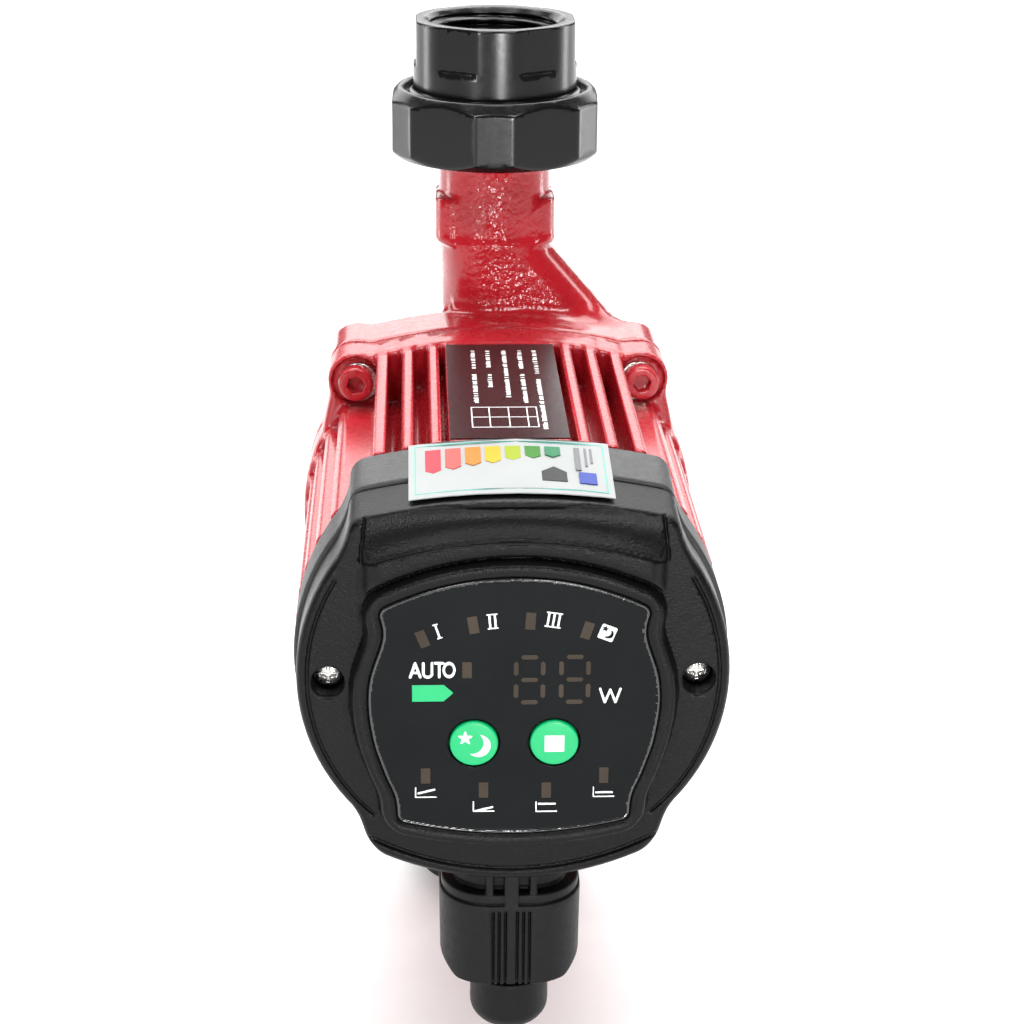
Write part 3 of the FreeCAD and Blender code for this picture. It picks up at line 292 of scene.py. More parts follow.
LABEL_DARK = make_material("rating_label_film", (0.020, 0.010, 0.011), 0.30, grain=(420, 0.02), shade=0.1,
                           specular=0.3)
LABEL_WHITE = make_material("energy_label_film", (0.36, 0.375, 0.37), 0.45, grain=(300, 0.03), shade=0.03,
                            specular=0.15)
ZINC = make_material("zinc_plated_steel", (0.62, 0.61, 0.58), 0.28, metallic=1.0, grain=(1800, 0.03),
                     polish=0.4)

# Material of each slot in the record. The ones made here dress CAD nodes only.
SLOT_MATERIALS = {
    "red_cast_iron": RED_CAST, "red_aluminium": RED_DIE, "black_union": BLACK_METAL,
    "black_plastic": BLACK_PLASTIC, "plug_plastic": PLUG_PLASTIC, "panel_film": PANEL_FILM,
    "green_button": PRINT_GREEN, "label_black": LABEL_DARK, "label_white": LABEL_WHITE, "zinc_steel": ZINC,
    "stainless": make_material("stainless_steel", (0.60, 0.60, 0.61), 0.25, 1.0, grain=(900, 0.01)),
    "rubber_seal": make_material("black_rubber", (0.018, 0.018, 0.018), 0.75, grain=(1500, 0.03)),
    "ceramic": make_material("ground_ceramic", (0.80, 0.78, 0.70), 0.18, grain=(900, 0.003), shade=0.03),
    "carbon": make_material("carbon_graphite", (0.045, 0.045, 0.050), 0.45, grain=(1400, 0.02)),
    "magnet": make_material("sintered_ferrite", (0.09, 0.09, 0.10), 0.55, grain=(1200, 0.03)),
    "engineering_plastic": make_material("glass_filled_nylon", (0.62, 0.58, 0.48), 0.45, grain=(1500, 0.02),
                                         shade=0.06),
    "core_steel": make_material("electrical_sheet", (0.26, 0.27, 0.29), 0.38, 0.9, grain=(1100, 0.03)),
    "copper": make_material("enamelled_copper", (0.60, 0.22, 0.08), 0.25, 0.9, grain=(700, 0.10)),
    "brass_contact": make_material("brass", (0.76, 0.55, 0.25), 0.22, 1.0, grain=(900, 0.01)),
    "green_board": make_material("solder_mask", (0.015, 0.15, 0.06), 0.30, grain=(800, 0.03), shade=0.2),
    "component_plastic": make_material("component_plastic", (0.03, 0.03, 0.034), 0.42, grain=(1500, 0.02)),
    "display_plastic": make_material("smoked_display", (0.05, 0.045, 0.032), 0.25, grain=(900, 0.01)),
}


def dress_frame():
    """Give every CAD node that stays in view the material of its slot in the record."""
    slots = {row["node"]: row["material_slot"] for row in frame["record"]["subparts"]
             if "node" in row and "material_slot" in row}
    for name, item in frame["nodes"].items():
        slot = slots.get(name)
        if slot:
            item.data.materials.clear()
            item.data.materials.append(SLOT_MATERIALS[slot])


# --- Wet end and motor castings ---

NECK_RADIUS = 13.7
FLANGE_CROWN = (129.0, 83.0)        # radius of a crowned side, and how far off its centre lies
SCREW_OFFSET = 35.5
BOX_SCREW_OFFSET = 25.6
PORT_FACE = 90.0
PITCH = 2.309                       # of the port thread
SPLIT = span("motor_housing", 2)[0]
FLANGE_FRONT = SPLIT + 11.6
SCREW_SEAT = FLANGE_FRONT - 1.6
HEAD_HEIGHT = 5.0
WASHER_DRIFT = 0.985                # the washers lie a little nearer the motor axis than their screws
MOTOR_END = span("motor_housing", 2)[1]
DRUM_RADIUS = 39.0
FIN_HALF = 1.5
PAD_HALF = span("rating_label", 0)[1] + 0.3
PAD_TOP = span("rating_label", 1)[0]


def corner_discs(x, y, offset, radius):
    """Four discs, as far across as up from the motor axis."""
    return disc(np.abs(x), np.abs(y), offset, offset, radius)


def flange_outline(x, y, inset=0.0):
    """The joint face of both castings: four crowned sides, round flanks and a lug round each screw."""
    radius, offset = FLANGE_CROWN
    square = both(disc(x, y, 0, -offset, radius), disc(x, y, 0, offset, radius))
    square = meet(square, both(disc(x, y, -offset, 0, radius), disc(x, y, offset, 0, radius)), 3.0)
    flanks = meet(np.hypot(x, y) - 49.3, np.abs(y) - 20.5, 2.5)
    outline = join(square, flanks, 1.5)
    outline = join(outline, corner_discs(x, y, SCREW_OFFSET, 7.0), 1.0)
    return outline + inset


def neck_and_ports(g):
    """Both necks with their wrench ears, port cones and port threads."""
    pipe = np.hypot(g.x, g.z)
    rise = np.abs(g.y)
    neck = both(pipe - NECK_RADIUS, rise - 84)
    ears = meet(rectangle(g.x, g.z, 0, 0, 15.3, 10.6, 5.5), slab(rise, 63.4, 75.0), 0.4)
    ears = both(ears, (np.abs(g.x) + 62.0 - rise - 13.2) * 0.7)
    collar = meet(pipe - (NECK_RADIUS + 0.35), slab(rise - 0.28 * np.abs(g.x), 61.5, 90), 0.4)
    neck = join(join(neck, collar, 1.2), ears, 1.2)
    foot = pipe - (NECK_RADIUS + np.clip(rise - 83.2, 0, 4) * 2.9)
    foot = both(foot * 0.4, slab(rise, 83.2, 87.0))
    turn = np.arctan2(g.z, g.x) / (2 * np.pi)
    phase = (rise / PITCH + turn) % 1.0
    ridge = 1.3 * (np.abs(phase - 0.5) * 2 - 0.5)
    port = meet(pipe - (23.1 + np.clip(ridge, -0.6, 0.6)), slab(rise, 86.0, PORT_FACE), 0.5)
    return join(join(neck, foot, 1.2), port, 0.5)


def flare(g):
    """The cast wedge between the outlet neck and the volute, leaning to the discharge side."""
    drop = np.clip(62.5 - g.y, 0, 30)
    left = -12.9 + 0.19 * drop + 1.3 * np.exp(-((drop - 14) / 6) ** 2)
    right = 13.6 + 0.86 * drop
    wedge = rectangle(g.x, g.z, (left + right) / 2, -0.5, (right - left) / 2, 14.2, 10.0)
    return both(wedge * 0.8, slab(g.y, 30, 63.5))


def build_pump_casting():
    g = Grid((-50, -PORT_FACE, -27.5), (50, PORT_FACE, SPLIT), 0.8)
    reach = np.hypot(g.x, g.y)
    band = meet(flange_outline(g.x, g.y), slab(g.z, 8.5, SPLIT - 0.15), 1.1)
    back = meet((reach - 44.0 + 0.383 * np.clip(9.5 - g.z, 0, 40)) * 0.93, slab(g.z, -27, 10), 3.0)
    ledge = meet(flange_outline(g.x, g.y, 1.6), slab(g.z, 4.5, 12), 1.5)
    body = join(join(band, ledge, 1.0), back, 3.0)
    body = join(body, flare(g), 4.0)
    inlet_root = both(rectangle(g.x, g.z, 0, -0.5, 13.8 + 0.35 * np.clip(g.y + 62, 0, 30), 13.8, 10.0),
                      slab(-g.y, 30, 62))
    body = join(body, inlet_root * 0.9, 4.0)
    body = join(body, neck_and_ports(g), 2.6)
    front = both(np.abs(body) - 0.30, np.abs(g.x) - 0.35, 6 - g.z)
    body = join(body, both(front, 40 - np.abs(g.y)), 0.4)
    bore = meet(np.hypot(g.x, g.z) - 10.0, 37 - np.abs(g.y), 1.0)
    body = carve(body, bore, 0.8)
    chamber = meet(reach - 34.0, slab(g.z, 2, SPLIT + 3), 0.8)
    register = both(reach - 38.3, slab(g.z, 20.9, SPLIT + 3))
    eye = both(reach - 13.0, slab(g.z, -10, 3))
    cavity = meet(reach - 27.0, slab(g.z, -22, -3), 2.0)
    passages = either(both(rectangle(g.x, g.y, 0, 32, 8, 10, 2), slab(g.z, 2, 18)),
                      both(rectangle(g.x, g.y, 0, -31, 7, 11, 2), slab(g.z, -10, -3)))
    hollow = either(chamber, register, eye, cavity, passages)
    taps = both(corner_discs(g.x, g.y, SCREW_OFFSET, 2.5), slab(g.z, 11, SPLIT + 3))
    body = carve(body, either(hollow, taps), 0.4)
    return mesh_field("pump_casting", g, body, 0.03)


def fin_section(x, y):
    """Section of the finned drum: upright fins above and below, level fins at the sides, two label pads."""
    radius, offset = FLANGE_CROWN
    section = np.hypot(x, y) - DRUM_RADIUS
    crown = both(disc(x, y, 0, -offset, radius), disc(x, y, 0, offset, radius))
    for index in range(3):
        plate = np.abs(np.abs(x) - (16.35 + 6.25 * index)) - FIN_HALF + 0.012 * (np.abs(y) - 38)
        section = join(section, meet(plate, crown + 0.2, 0.7), 1.3)
    reach = np.hypot(x, y)
    for index in range(5):
        plate = np.abs(np.abs(y) - 6.2 * (index + 0.5)) - FIN_HALF + 0.012 * (np.abs(x) - 38)
        section = join(section, meet(plate, reach - 48.2, 0.7), 1.2)
    pad = meet(np.abs(x) - PAD_HALF, np.abs(y) - PAD_TOP, 0.5)
    return join(section, pad, 0.8)


def build_motor_casting():
    g = Grid((-49.5, -49.5, SPLIT), (49.5, 49.5, MOTOR_END), 0.6)
    reach = np.hypot(g.x, g.y)
    flange = flange_outline(g.x, g.y)
    band = meet(flange, g.z - FLANGE_FRONT, 1.5)
    band = meet(band, SPLIT + 0.15 - g.z, 0.4)
    fins = both(fin_section(g.x, g.y), slab(g.z, SPLIT + 3, MOTOR_END - 0.05))
    body = join(band, fins, 1.2)
    seats = both(corner_discs(g.x, g.y, SCREW_OFFSET, 6.0), SCREW_SEAT - g.z)
    holes = both(corner_discs(g.x, g.y, SCREW_OFFSET, 2.75), SPLIT - 3 - g.z)
    bore = either(both(reach - 33.0, 30.0 - g.z), reach - 18.6)
    taps = both(corner_discs(g.x, g.y, BOX_SCREW_OFFSET, 1.5), MOTOR_END - 9 - g.z)
    return mesh_field("motor_casting", g, carve(body, seats, 0.5, holes, 0.2, bore, 0.5, taps, 0.2), 0.12)


# --- Unions ---

NUT_TURN = math.radians(28.0)       # how the outlet nut was left when it was tightened
THREAD_DEPTH = 16.3


def hexagon(r, turn, corner_turn, half_flats):
    """Distance to a hexagonal prism, with a corner at corner_turn."""
    part = (turn - corner_turn) % (math.pi / 3) - math.pi / 6
    return r * np.cos(part) - half_flats


def build_tailpiece():
    """Outlet tailpiece; heights are from the motor axis up the pipe."""
    low, high = span("outlet_tailpiece", 1)
    g = Grid((-22.4, low, -22.4), (22.4, high, 22.4), 0.35)
    r, turn, rise = np.hypot(g.x, g.z), np.arctan2(-g.z, g.x), g.y
    body = meet(r - 20.75, slab(rise, low, high), 0.55)
    outside = both(-hexagon(r, turn, math.pi / 6, 20.0), high - 11.0 - rise)
    body = carve(body, outside, 0.25)
    foot = meet(r - 21.9, slab(rise, low, high - 18.0), 0.5)
    body = join(body, foot, 0.7)
    body = join(body, meet(r - 22.3, slab(rise, low, low + 5.0), 0.3), 0.2)
    phase = (rise / PITCH - turn / (2 * math.pi)) % 1.0
    thread = 15.15 + 1.35 * np.clip(1.15 - np.abs(phase - 0.5) * 2.6, 0, 1)
    thread = np.where(rise > high - THREAD_DEPTH, thread, 15.15)
    bore = both(r - thread, high - THREAD_DEPTH - rise) * 0.8
    mouth = (r - (15.9 + (rise - (high - 1.6)))) * 0.707
    body = carve(body, either(bore, r - 13.0), 0.12, both(mouth, high - 3.0 - rise), 0.25)
    return mesh_field("outlet_tailpiece_turned", g, body, 0.02)


def build_union_nut():
    low, high = span("outlet_union_nut", 1)
    g = Grid((-27.5, low, -27.5), (27.5, high, 27.5), 0.35)
    r, turn, rise = np.hypot(g.x, g.z), np.arctan2(-g.z, g.x), g.y
    wide = hexagon(r, turn, NUT_TURN, 25.9)
    narrow = hexagon(r, turn, NUT_TURN + math.pi / 6, 27.0)
    body = meet(wide, narrow, 0.3)
    body = meet(body, (r - 24.6 - (high - rise)) * 0.72, 0.3)
    body = meet(body, (r - 25.6 - (rise - low)) * 0.72, 0.3)
    body = meet(body, slab(rise, low, high), 0.25)
    phase = (rise / PITCH - turn / (2 * math.pi)) % 1.0
    thread = 23.4 - 0.7 * np.abs(phase - 0.5)
    chamfer = (r - 23.0 - (rise - (high - 0.6))) * 0.72
    body = carve(body, both(r - thread, rise - (high - 5.3)), 0.15, r - 21.0, 0.2,
                 both(r - 23.0, high - 2.3 - rise), 0.3, both(chamfer, high - 1.2 - rise), 0.15)
    return mesh_field("outlet_union_nut_faceted", g, body, 0.02)


def turned_over(mesh, name):
    """A copy of an outlet mesh at the inlet: half a turn about the line across the pump."""
    centre = Matrix.Translation((0, 0, AXIS * MM))
    return copied(mesh, name, centre @ Matrix.Rotation(math.pi, 4, "X") @ centre.inverted())


# --- Control box ---

BOX_REAR = span("control_box_base", 2)[0]
BOX_SEAM = span("control_box_base", 2)[1]
BOX_FRONT = BOX_SEAM + 13.0
BEZEL_FRONT = span("control_box_cover", 2)[1]
SHOULDER_TOP = span("control_box_base", 1)[1]
TOP_SLOPE = math.radians(9.0)
TOP_CROWN = 150.0
LABEL_STANDOFF = 0.2                # how far the energy label stands off the top
BASE_RADIUS = 48.0
COVER_RADIUS = 47.0
CHIN = -span("control_box_cover", 1)[0]
CHIN_RADIUS = 67.0
EAR = 40.1
EAR_FLOOR = BOX_SEAM + 7.0
FILM_FACE = BEZEL_FRONT - 0.45
PLUG_MIDDLE = 122.0


def box_top(g):
    """The crowned top of the box, falling towards the front."""
    fall = (g.y - SHOULDER_TOP + (g.z - BOX_REAR) * math.tan(TOP_SLOPE)) * math.cos(TOP_SLOPE)
    return np.hypot(g.x, fall + TOP_CROWN) - TOP_CROWN + LABEL_STANDOFF


def box_shape(g, radius, inset=0.0):
    """Round flanks, sloping shoulder and chin of the control box, without its front and rear faces."""
    shoulder = both(np.abs(g.x) - 35.2 + inset, -g.y)
    outline = join(np.hypot(g.x, g.y) - radius + inset, shoulder, 3.5)
    chin = both(np.abs(g.x) - 33.3 + inset, g.y)
    arc = disc(g.x, g.y, 0, CHIN_RADIUS - CHIN, CHIN_RADIUS - inset)
    chin = meet(chin, arc, max(5.5 - inset, 1))
    outline = both(join(outline, chin, 2.5), arc)
    return meet(outline, box_top(g) + inset, max(3.2 - inset, 1))


def plug_opening(g):
    return both(rectangle(g.x, g.z, 0, PLUG_MIDDLE, 13.2, 9.2, 1), g.y + 36.5)


def build_box_base():
    g = Grid((-48.5, -CHIN, BOX_REAR), (48.5, SHOULDER_TOP, BOX_SEAM), 0.5)
    body = meet(box_shape(g, BASE_RADIUS), BOX_REAR - g.z, 1.2)
    body = meet(body, g.z - BOX_SEAM + 0.25, 0.5)
    hollow = both(box_shape(g, BASE_RADIUS, 2.3), BOX_REAR + 2.5 - g.z)
    posts = either(disc(np.abs(g.x), g.y, EAR, 0, 4.0), disc(np.abs(g.x), g.y, 19.0, 33.5, 2.5))
    hollow = both(hollow, 0.3 - posts)
    holes = corner_discs(g.x, g.y, BOX_SCREW_OFFSET, 1.7)
    body = carve(body, hollow, 0.3, plug_opening(g), 0.2, holes, 0.2)
    return mesh_field("box_base_moulded", g, body, 0.02)


# Half width of the panel film at heights from the motor axis: its flanks are waisted above and below.
FILM_FLANK = ((-40, 25.4), (-29, 25.4), (-26, 25.8), (-21.5, 27.8), (-14, 30.2), (-8, 31.2), (-3, 31.5), (2, 31.0),
              (7, 29.4), (10.5, 28.1), (13.5, 27.9), (18, 29.2), (24, 30.6), (50, 36))

BEAD_WIDTH = 0.62                   # of the film's glossy edge
FILM_TOP = 24.9, 62.0               # height of the film's upper edge and the radius of its arc
FILM_FOOT = -35.6, 97.0             # the same at its lower edge
SCOOP_FOOT = 32.9                   # height of the recess's lower edge, in its middle
SCOOP_RADIUS = 97.0
SCOOP_BROW = 39.3                   # height of the recess's upper edge
SCOOP_DEPTHS = BEZEL_FRONT - 1.4, BOX_FRONT - 0.9   # its floor at the lower and the upper edge


def flank(y):
    """Half width of the film at height y, with its corners smoothed."""
    heights, halves = zip(*FILM_FLANK)
    total = 0
    for shift, weight in ((-2, 0.15), (-1, 0.22), (0, 0.26), (1, 0.22), (2, 0.15)):
        total = total + weight * np.interp(y + shift, heights, halves)
    return total


def panel_shape(x, y, grow=0.0):
    """Distance outside the film's edge, or outside that edge grown by grow."""
    sides = (np.abs(x) - flank(y)) * 0.94 - grow
    upper = disc(x, y, 0, FILM_TOP[0] - FILM_TOP[1], FILM_TOP[1]) - grow
    lower = disc(x, y, 0, FILM_FOOT[0] + FILM_FOOT[1], FILM_FOOT[1]) - grow
    return meet(meet(sides, upper, 1.6 + 0.8 * grow), lower, 1.6 + 0.6 * grow)


def scoop_foot(x):
    """Lower edge of the scooped recess, an arc above the panel."""
    return np.sqrt(SCOOP_RADIUS ** 2 - x ** 2) - SCOOP_RADIUS + SCOOP_FOOT


def front_face(x, y):
    """How far forward the cover's front comes, leaving out the recess: flat ears, a rounded ring round
    the film, and above it a groove and a second rounded lip."""
    away = panel_shape(x, y)
    ring = BEZEL_FRONT - 0.22 * np.clip(away - 1.9, -2.5, 9) ** 2 - 2.2 * np.clip(away - 2.8, 0, 3) ** 2
    lip = BEZEL_FRONT - 0.7 - 0.20 * np.clip(away - 6.3, -9, 0) ** 2 - 1.2 * np.clip(5.0 - away, 0, 3) ** 2
    lip = lip - 0.62 * np.clip(y - 33.0, 0, 20)
    lip = lip - 0.22 * np.clip(np.abs(x) - 28.5, 0, 9) ** 2 - 0.4 * np.clip(19.0 - y, 0, 9) ** 2
    return np.maximum(np.maximum(ring, lip), BOX_FRONT)


def build_box_cover():
    g = Grid((-47.5, -CHIN, BOX_SEAM), (47.5, SHOULDER_TOP - 2, BEZEL_FRONT), 0.4)
    outside = box_shape(g, COVER_RADIUS)
    raised = (g.z - front_face(g.x, g.y)) * 0.8
    rim = meet(outside, g.z - BOX_FRONT, 2.0)
    inner = both(outside + 2.2, raised)
    body = meet(either(rim, inner), box_top(g), 2.0)
    foot = scoop_foot(g.x)
    brow = SCOOP_BROW - g.x ** 2 / 3000
    part = np.clip((g.y - foot) / (brow - foot), 0, 1)
    floor = (1 - part) * SCOOP_DEPTHS[0] + part * SCOOP_DEPTHS[1] - 5.2 * part * (1 - part)
    scoop = meet(np.abs(g.x) - 31.4 - 0.12 * (brow - g.y), both(foot - g.y, g.y - brow), 0.8)
    body = carve(body, meet(scoop, (floor - g.z) * 0.8, 0.2), 0.3)
    line = both(np.abs(scoop) - 0.24, np.minimum(floor, front_face(g.x, g.y)) - g.z - 0.55)
    body = carve(body, line, 0.1)
    ear_pad = both(np.abs(disc(g.x, g.y, 0, 0, 44.6)) - 0.30, np.abs(g.y + 4.6) - 28.0)
    body = carve(body, both(ear_pad, BOX_FRONT - 0.55 - g.z), 0.12)
    arc = both(np.abs(disc(g.x, g.y, 0, CHIN_RADIUS - CHIN, 63.9)) - 0.42, np.abs(g.x) - 31.5,
               g.y + 38.0, BOX_FRONT - 0.8 - g.z)
    body = carve(body, arc, 0.45)
    ear = np.hypot(np.abs(g.x) - EAR, g.y + 0.4)
    hollow = both(box_shape(g, COVER_RADIUS, 2.3), g.z - BOX_FRONT + 2.5, 5.6 - ear)
    body = carve(body, both(ear - 3.5, EAR_FLOOR - g.z), 0.45, ear - 1.8, 0.2, hollow, 0.4)
    film = panel_shape(g.x, g.y)
    body = carve(body, both(film - 0.12, FILM_FACE - 0.55 - g.z), 0.2,
                 both(film + 1.6, BOX_FRONT - 4 - g.z), 0.3, plug_opening(g), 0.2)
    body = meet(body, BOX_SEAM + 0.2 - g.z, 0.5)
    return mesh_field("box_cover_moulded", g, body, 0.02)


# --- Panel film, printing and buttons ---

BUTTONS = {"button_night": "night_button", "button_mode": "mode_button"}
BUTTON_DOME = 0.010                 # how fast a button's face falls away from its middle, per mm
LAMP_FAN = 37.5                     # how far below the motor axis the upper lamps' lines meet
UPPER_LAMPS = ((-19.7, 11.2), (-8.9, 14.3), (3.3, 15.1), (15.4, 12.8))
NUMERALS = ((-16.5, 12.9, 1), (-4.8, 15.1, 2), (8.2, 15.3, 3))
NIGHT_ICON = (19.7, 12.2)
LOWER_LAMPS = ((-19.2, -21.3), (-6.6, -24.9), (7.1, -25.1), (19.6, -21.6))
DIGITS = (3.2, 12.9)
DIGIT_MIDDLE = 1.4


def button_centre(node):
    return tuple(sum(span(node, axis)) / 2 for axis in (0, 1))


def build_film():
    g = Grid((-32, -36, FILM_FACE - 0.5), (32, 26, FILM_FACE + 0.15), 0.24)
    film = panel_shape(g.x, g.y)
    body = meet(film, g.z - FILM_FACE, 0.12)
    bead = np.hypot(film + 0.30, g.z - FILM_FACE + 0.02) - 0.20
    body = both(join(body, bead, 0.1), FILM_FACE - 0.5 - g.z)
    for node in BUTTONS:
        body = carve(body, disc(g.x, g.y, *button_centre(node), 5.6), 0.1)
    return mesh_field("panel_film_sheet", g, body, 0.05)


def stroke(x, y, points, half_width):
    """Distance to a run of straight strokes with round ends."""
    parts = []
    for (ax, ay), (bx, by) in zip(points, points[1:]):
        length = max((bx - ax) ** 2 + (by - ay) ** 2, 1e-9)
        along = np.clip(((x - ax) * (bx - ax) + (y - ay) * (by - ay)) / length, 0, 1)
        parts.append(np.hypot(x - ax - along * (bx - ax), y - ay - along * (by - ay)) - half_width)
    return either(*parts)


def turned(x, y, centre, angle):
    """Coordinates about a centre, turned by an angle."""
    dx, dy = x - centre[0], y - centre[1]
    return dx * math.cos(angle) - dy * math.sin(angle), dx * math.sin(angle) + dy * math.cos(angle)


def fan_angle(centre):
    return math.atan2(centre[0], centre[1] + LAMP_FAN)


def crescent(x, y, size):
    whole = np.hypot(x - 0.08 * size, y) - 0.62 * size
    return both(whole, 0.60 * size - np.hypot(x + 0.26 * size, y - 0.16 * size))


def star(x, y, size):
    """A five-pointed star, one point up."""
    turn = (np.arctan2(x, y) + math.pi / 5) % (2 * math.pi / 5) - math.pi / 5
    r = np.hypot(x, y)
    return (r * np.cos(np.abs(turn) - math.radians(36)) - size * math.cos(math.radians(36)) *
            (1 - 1.35 * np.abs(turn) / (math.pi / 5) * 0.38)) * 0.8


def white_marks(x, y):
    """Every white legend on the film."""
    marks = []
    for cx, cy, count in NUMERALS:
        u, v = turned(x, y, (cx, cy), fan_angle((cx, cy)))
        width = 1.15 * (count - 1)
        for index in range(count):
            across = -width / 2 + 1.15 * index
            marks.append(rectangle(u, v, across, 0, 0.26, 1.75, 0.05))
        for side in (-1, 1):
            marks.append(rectangle(u, v, 0, 1.62 * side, width / 2 + 0.62, 0.17, 0.05))
    u, v = turned(x, y, NIGHT_ICON, fan_angle(NIGHT_ICON))
    tile = rectangle(u, v, 0, 0, 1.75, 1.75, 0.4)
    tile = both(tile, -crescent(u - 0.2, v + 0.15, 1.7))
    marks.append(both(tile, -star(u + 0.75, v - 0.75, 0.75)))
    u, v = (x + 17.9) / 0.94, y - 3.9
    for half_width, *points in ((0.34, (-4.75, -1.6), (-3.6, 1.6), (-2.45, -1.6)),
                                (0.28, (-4.25, -0.6), (-2.95, -0.6)),
                                (0.34, (-1.75, 1.6), (-1.75, -0.6)), (0.34, (0.25, 1.6), (0.25, -0.6)),
                                (0.32, (0.95, 1.62), (2.75, 1.62)), (0.34, (1.85, 1.6), (1.85, -1.6))):
        marks.append(stroke(u, v, points, half_width))
    marks.append(both(np.abs(np.hypot(u + 0.75, v + 0.65) - 1.0) - 0.34, v + 0.65))
    marks.append(np.abs(np.hypot((u - 4.1) / 0.78, v) - 1.55) * 0.85 - 0.33)
    u, v = x - 20.6, y + 2.5
    marks.append(stroke(u, v, ((-2.2, 1.6), (-1.15, -1.6), (0, 1.4), (1.15, -1.6), (2.2, 1.6)), 0.28))
    for index, (cx, cy) in enumerate(LOWER_LAMPS):
        u, v = x - cx, y - cy + 4.1
        marks.append(stroke(u, v, ((-2.2, 1.25), (-2.2, -1.1), (2.3, -1.1)), 0.16))
        level = 0.75 if index % 2 == 0 else -0.1
        start = level - 0.9 if index < 2 else level
        marks.append(stroke(u, v, ((-1.6, start), (1.9, level)), 0.26))
    return marks


def lamp_marks(x, y):
    """Windows of the unlit lamps and the two unlit digits."""
    marks = []
    for centre in UPPER_LAMPS:
        u, v = turned(x, y, centre, fan_angle(centre))
        marks.append(rectangle(u, v, 0, 0, 1.12, 2.0, 0.1))
    for cx, cy in LOWER_LAMPS + ((-10.2, 3.8),):
        marks.append(rectangle(x, y, cx, cy, 1.05, 1.9, 0.1))
    for cx in DIGITS:
        u, v = x - cx, y - DIGIT_MIDDLE
        for level in (-5.3, 0, 5.3):
            marks.append(both(np.abs(v - level) - 0.55, np.abs(u) + 0.8 * np.abs(v - level) - 1.95))
        for side in (-1, 1):
            for level in (-2.65, 2.65):
                marks.append(both(np.abs(u - 2.9 * side) - 0.55,
                                  np.abs(v - level) + 0.8 * np.abs(u - 2.9 * side) - 1.75))
    return marks


def print_marks(name, low, high, marks_of, face, sag=0.0):
    """Thin raised printing on a face that looks forward, flat or falling away from its middle."""
    g = Grid((low[0], low[1], face - 0.4), (high[0], high[1], face + 0.07), 0.12)
    away = np.hypot(g.x - (low[0] + high[0]) / 2, g.y - (low[1] + high[1]) / 2)
    skin = np.abs(g.z - face + 0.03 + sag * away ** 2) - 0.09
    return mesh_field(name, g, both(either(*marks_of(g.x, g.y)), skin), 0.1)


def arrow_mark(x, y):
    u, v = x + 17.6, y + 1.5
    return [both(np.abs(v) - 2.0, -4.4 - u, u + 1.05 * np.abs(v) - 4.5)]


def build_button(node):
    cx, cy = button_centre(node)
    back, face = span(node, 2)
    g = Grid((cx - 5.4, cy - 5.4, back), (cx + 5.4, cy + 5.4, face), 0.2)
    r = np.hypot(g.x - cx, g.y - cy)
    dome = g.z - face + 0.06 + BUTTON_DOME * r ** 2
    body = meet(meet(r - 5.25, dome, 0.45), back - g.z, 0.15)
    return mesh_field(node + "_cap", g, body, 0.03)


def night_symbol(cx, cy):
    return lambda x, y: [crescent(x - cx - 0.6, y - cy + 0.35, 4.3), star(x - cx + 1.9, y - cy - 1.5, 1.75)]


def square_symbol(cx, cy):
    return lambda x, y: [rectangle(x, y, cx, cy, 2.15, 1.95, 0.12)]


# --- Labels ---

ENERGY_SLOPE_START = BOX_REAR + 0.4
PRINT_LIFT = 0.1, 0.27              # underside and top of the energy label's printing
BAR_LENGTHS = (10.4, 9.3, 8.1, 7.4, 6.4, 5.4, 4.7)
BAR_COLOURS = ((0.46, 0.02, 0.04), (0.55, 0.075, 0.06), (0.58, 0.17, 0.01), (0.56, 0.34, 0.005),
               (0.27, 0.34, 0.005), (0.03, 0.17, 0.01), (0.01, 0.16, 0.06))


def on_slope(across, along, lift):
    """A point on the energy label, which follows the crown: along runs forward down the slope."""
    reach = lift - 0.02 - across ** 2 / (2 * TOP_CROWN)
    y = SHOULDER_TOP - 0.4 * math.tan(TOP_SLOPE) - along * math.sin(TOP_SLOPE) + reach * math.cos(TOP_SLOPE)
    z = ENERGY_SLOPE_START + along * math.cos(TOP_SLOPE) + reach * math.sin(TOP_SLOPE)
    return across, y, z


def on_pad(across, along, lift):
    """A point on the rating label, along running forward."""
    return across, PAD_TOP + lift, along


def finer(outline, step=3.0):
    """The outline with its long sides split, so that it bends with a curved label."""
    points = []
    for (ax, ay), (bx, by) in zip(outline, outline[1:] + outline[:1]):
        parts = max(1, math.ceil(abs(bx - ax) / step))
        points += [(ax + (bx - ax) * part / parts, ay + (by - ay) * part / parts) for part in range(parts)]
    return points


def patches(name, outlines, place, low, high):
    """Thin closed plates from outlines of (across, along) corners, placed on a label."""
    build = bmesh.new()
    for outline in map(finer, outlines):
        rings = []
        for lift in (low, high):
            points = to_world([place(across, along, lift) for across, along in outline])
            rings.append([build.verts.new(point) for point in points])
        build.faces.new(rings[1])
        build.faces.new(rings[0][::-1])
        count = len(outline)
        for index in range(count):
            after = (index + 1) % count
            build.faces.new((rings[0][index], rings[0][after], rings[1][after], rings[1][index]))
    bmesh.ops.recalc_face_normals(build, faces=build.faces)
    mesh = bpy.data.meshes.new(name)
    build.to_mesh(mesh)
    build.free()
    return mesh


def oblong(left, right, start, end):
    return ((left, start), (right, start), (right, end), (left, end))


def framed(left, right, start, end, width):
    """Four strips round an oblong."""
    return [oblong(left, right, start, start + width), oblong(left, right, end - width, end),
            oblong(left, left + width, start + width, end - width),
            oblong(right - width, right, start + width, end - width)]


def label_ink(name, colour, roughness=0.35):
    return make_material(name, colour, roughness, grain=(2000, 0.004), shade=0.05, specular=0.2)


def print_energy(part, outlines, ink, lift=PRINT_LIFT):
    place_piece(patches("energy_label_" + part, outlines, on_slope, *lift), ink, "label_white")


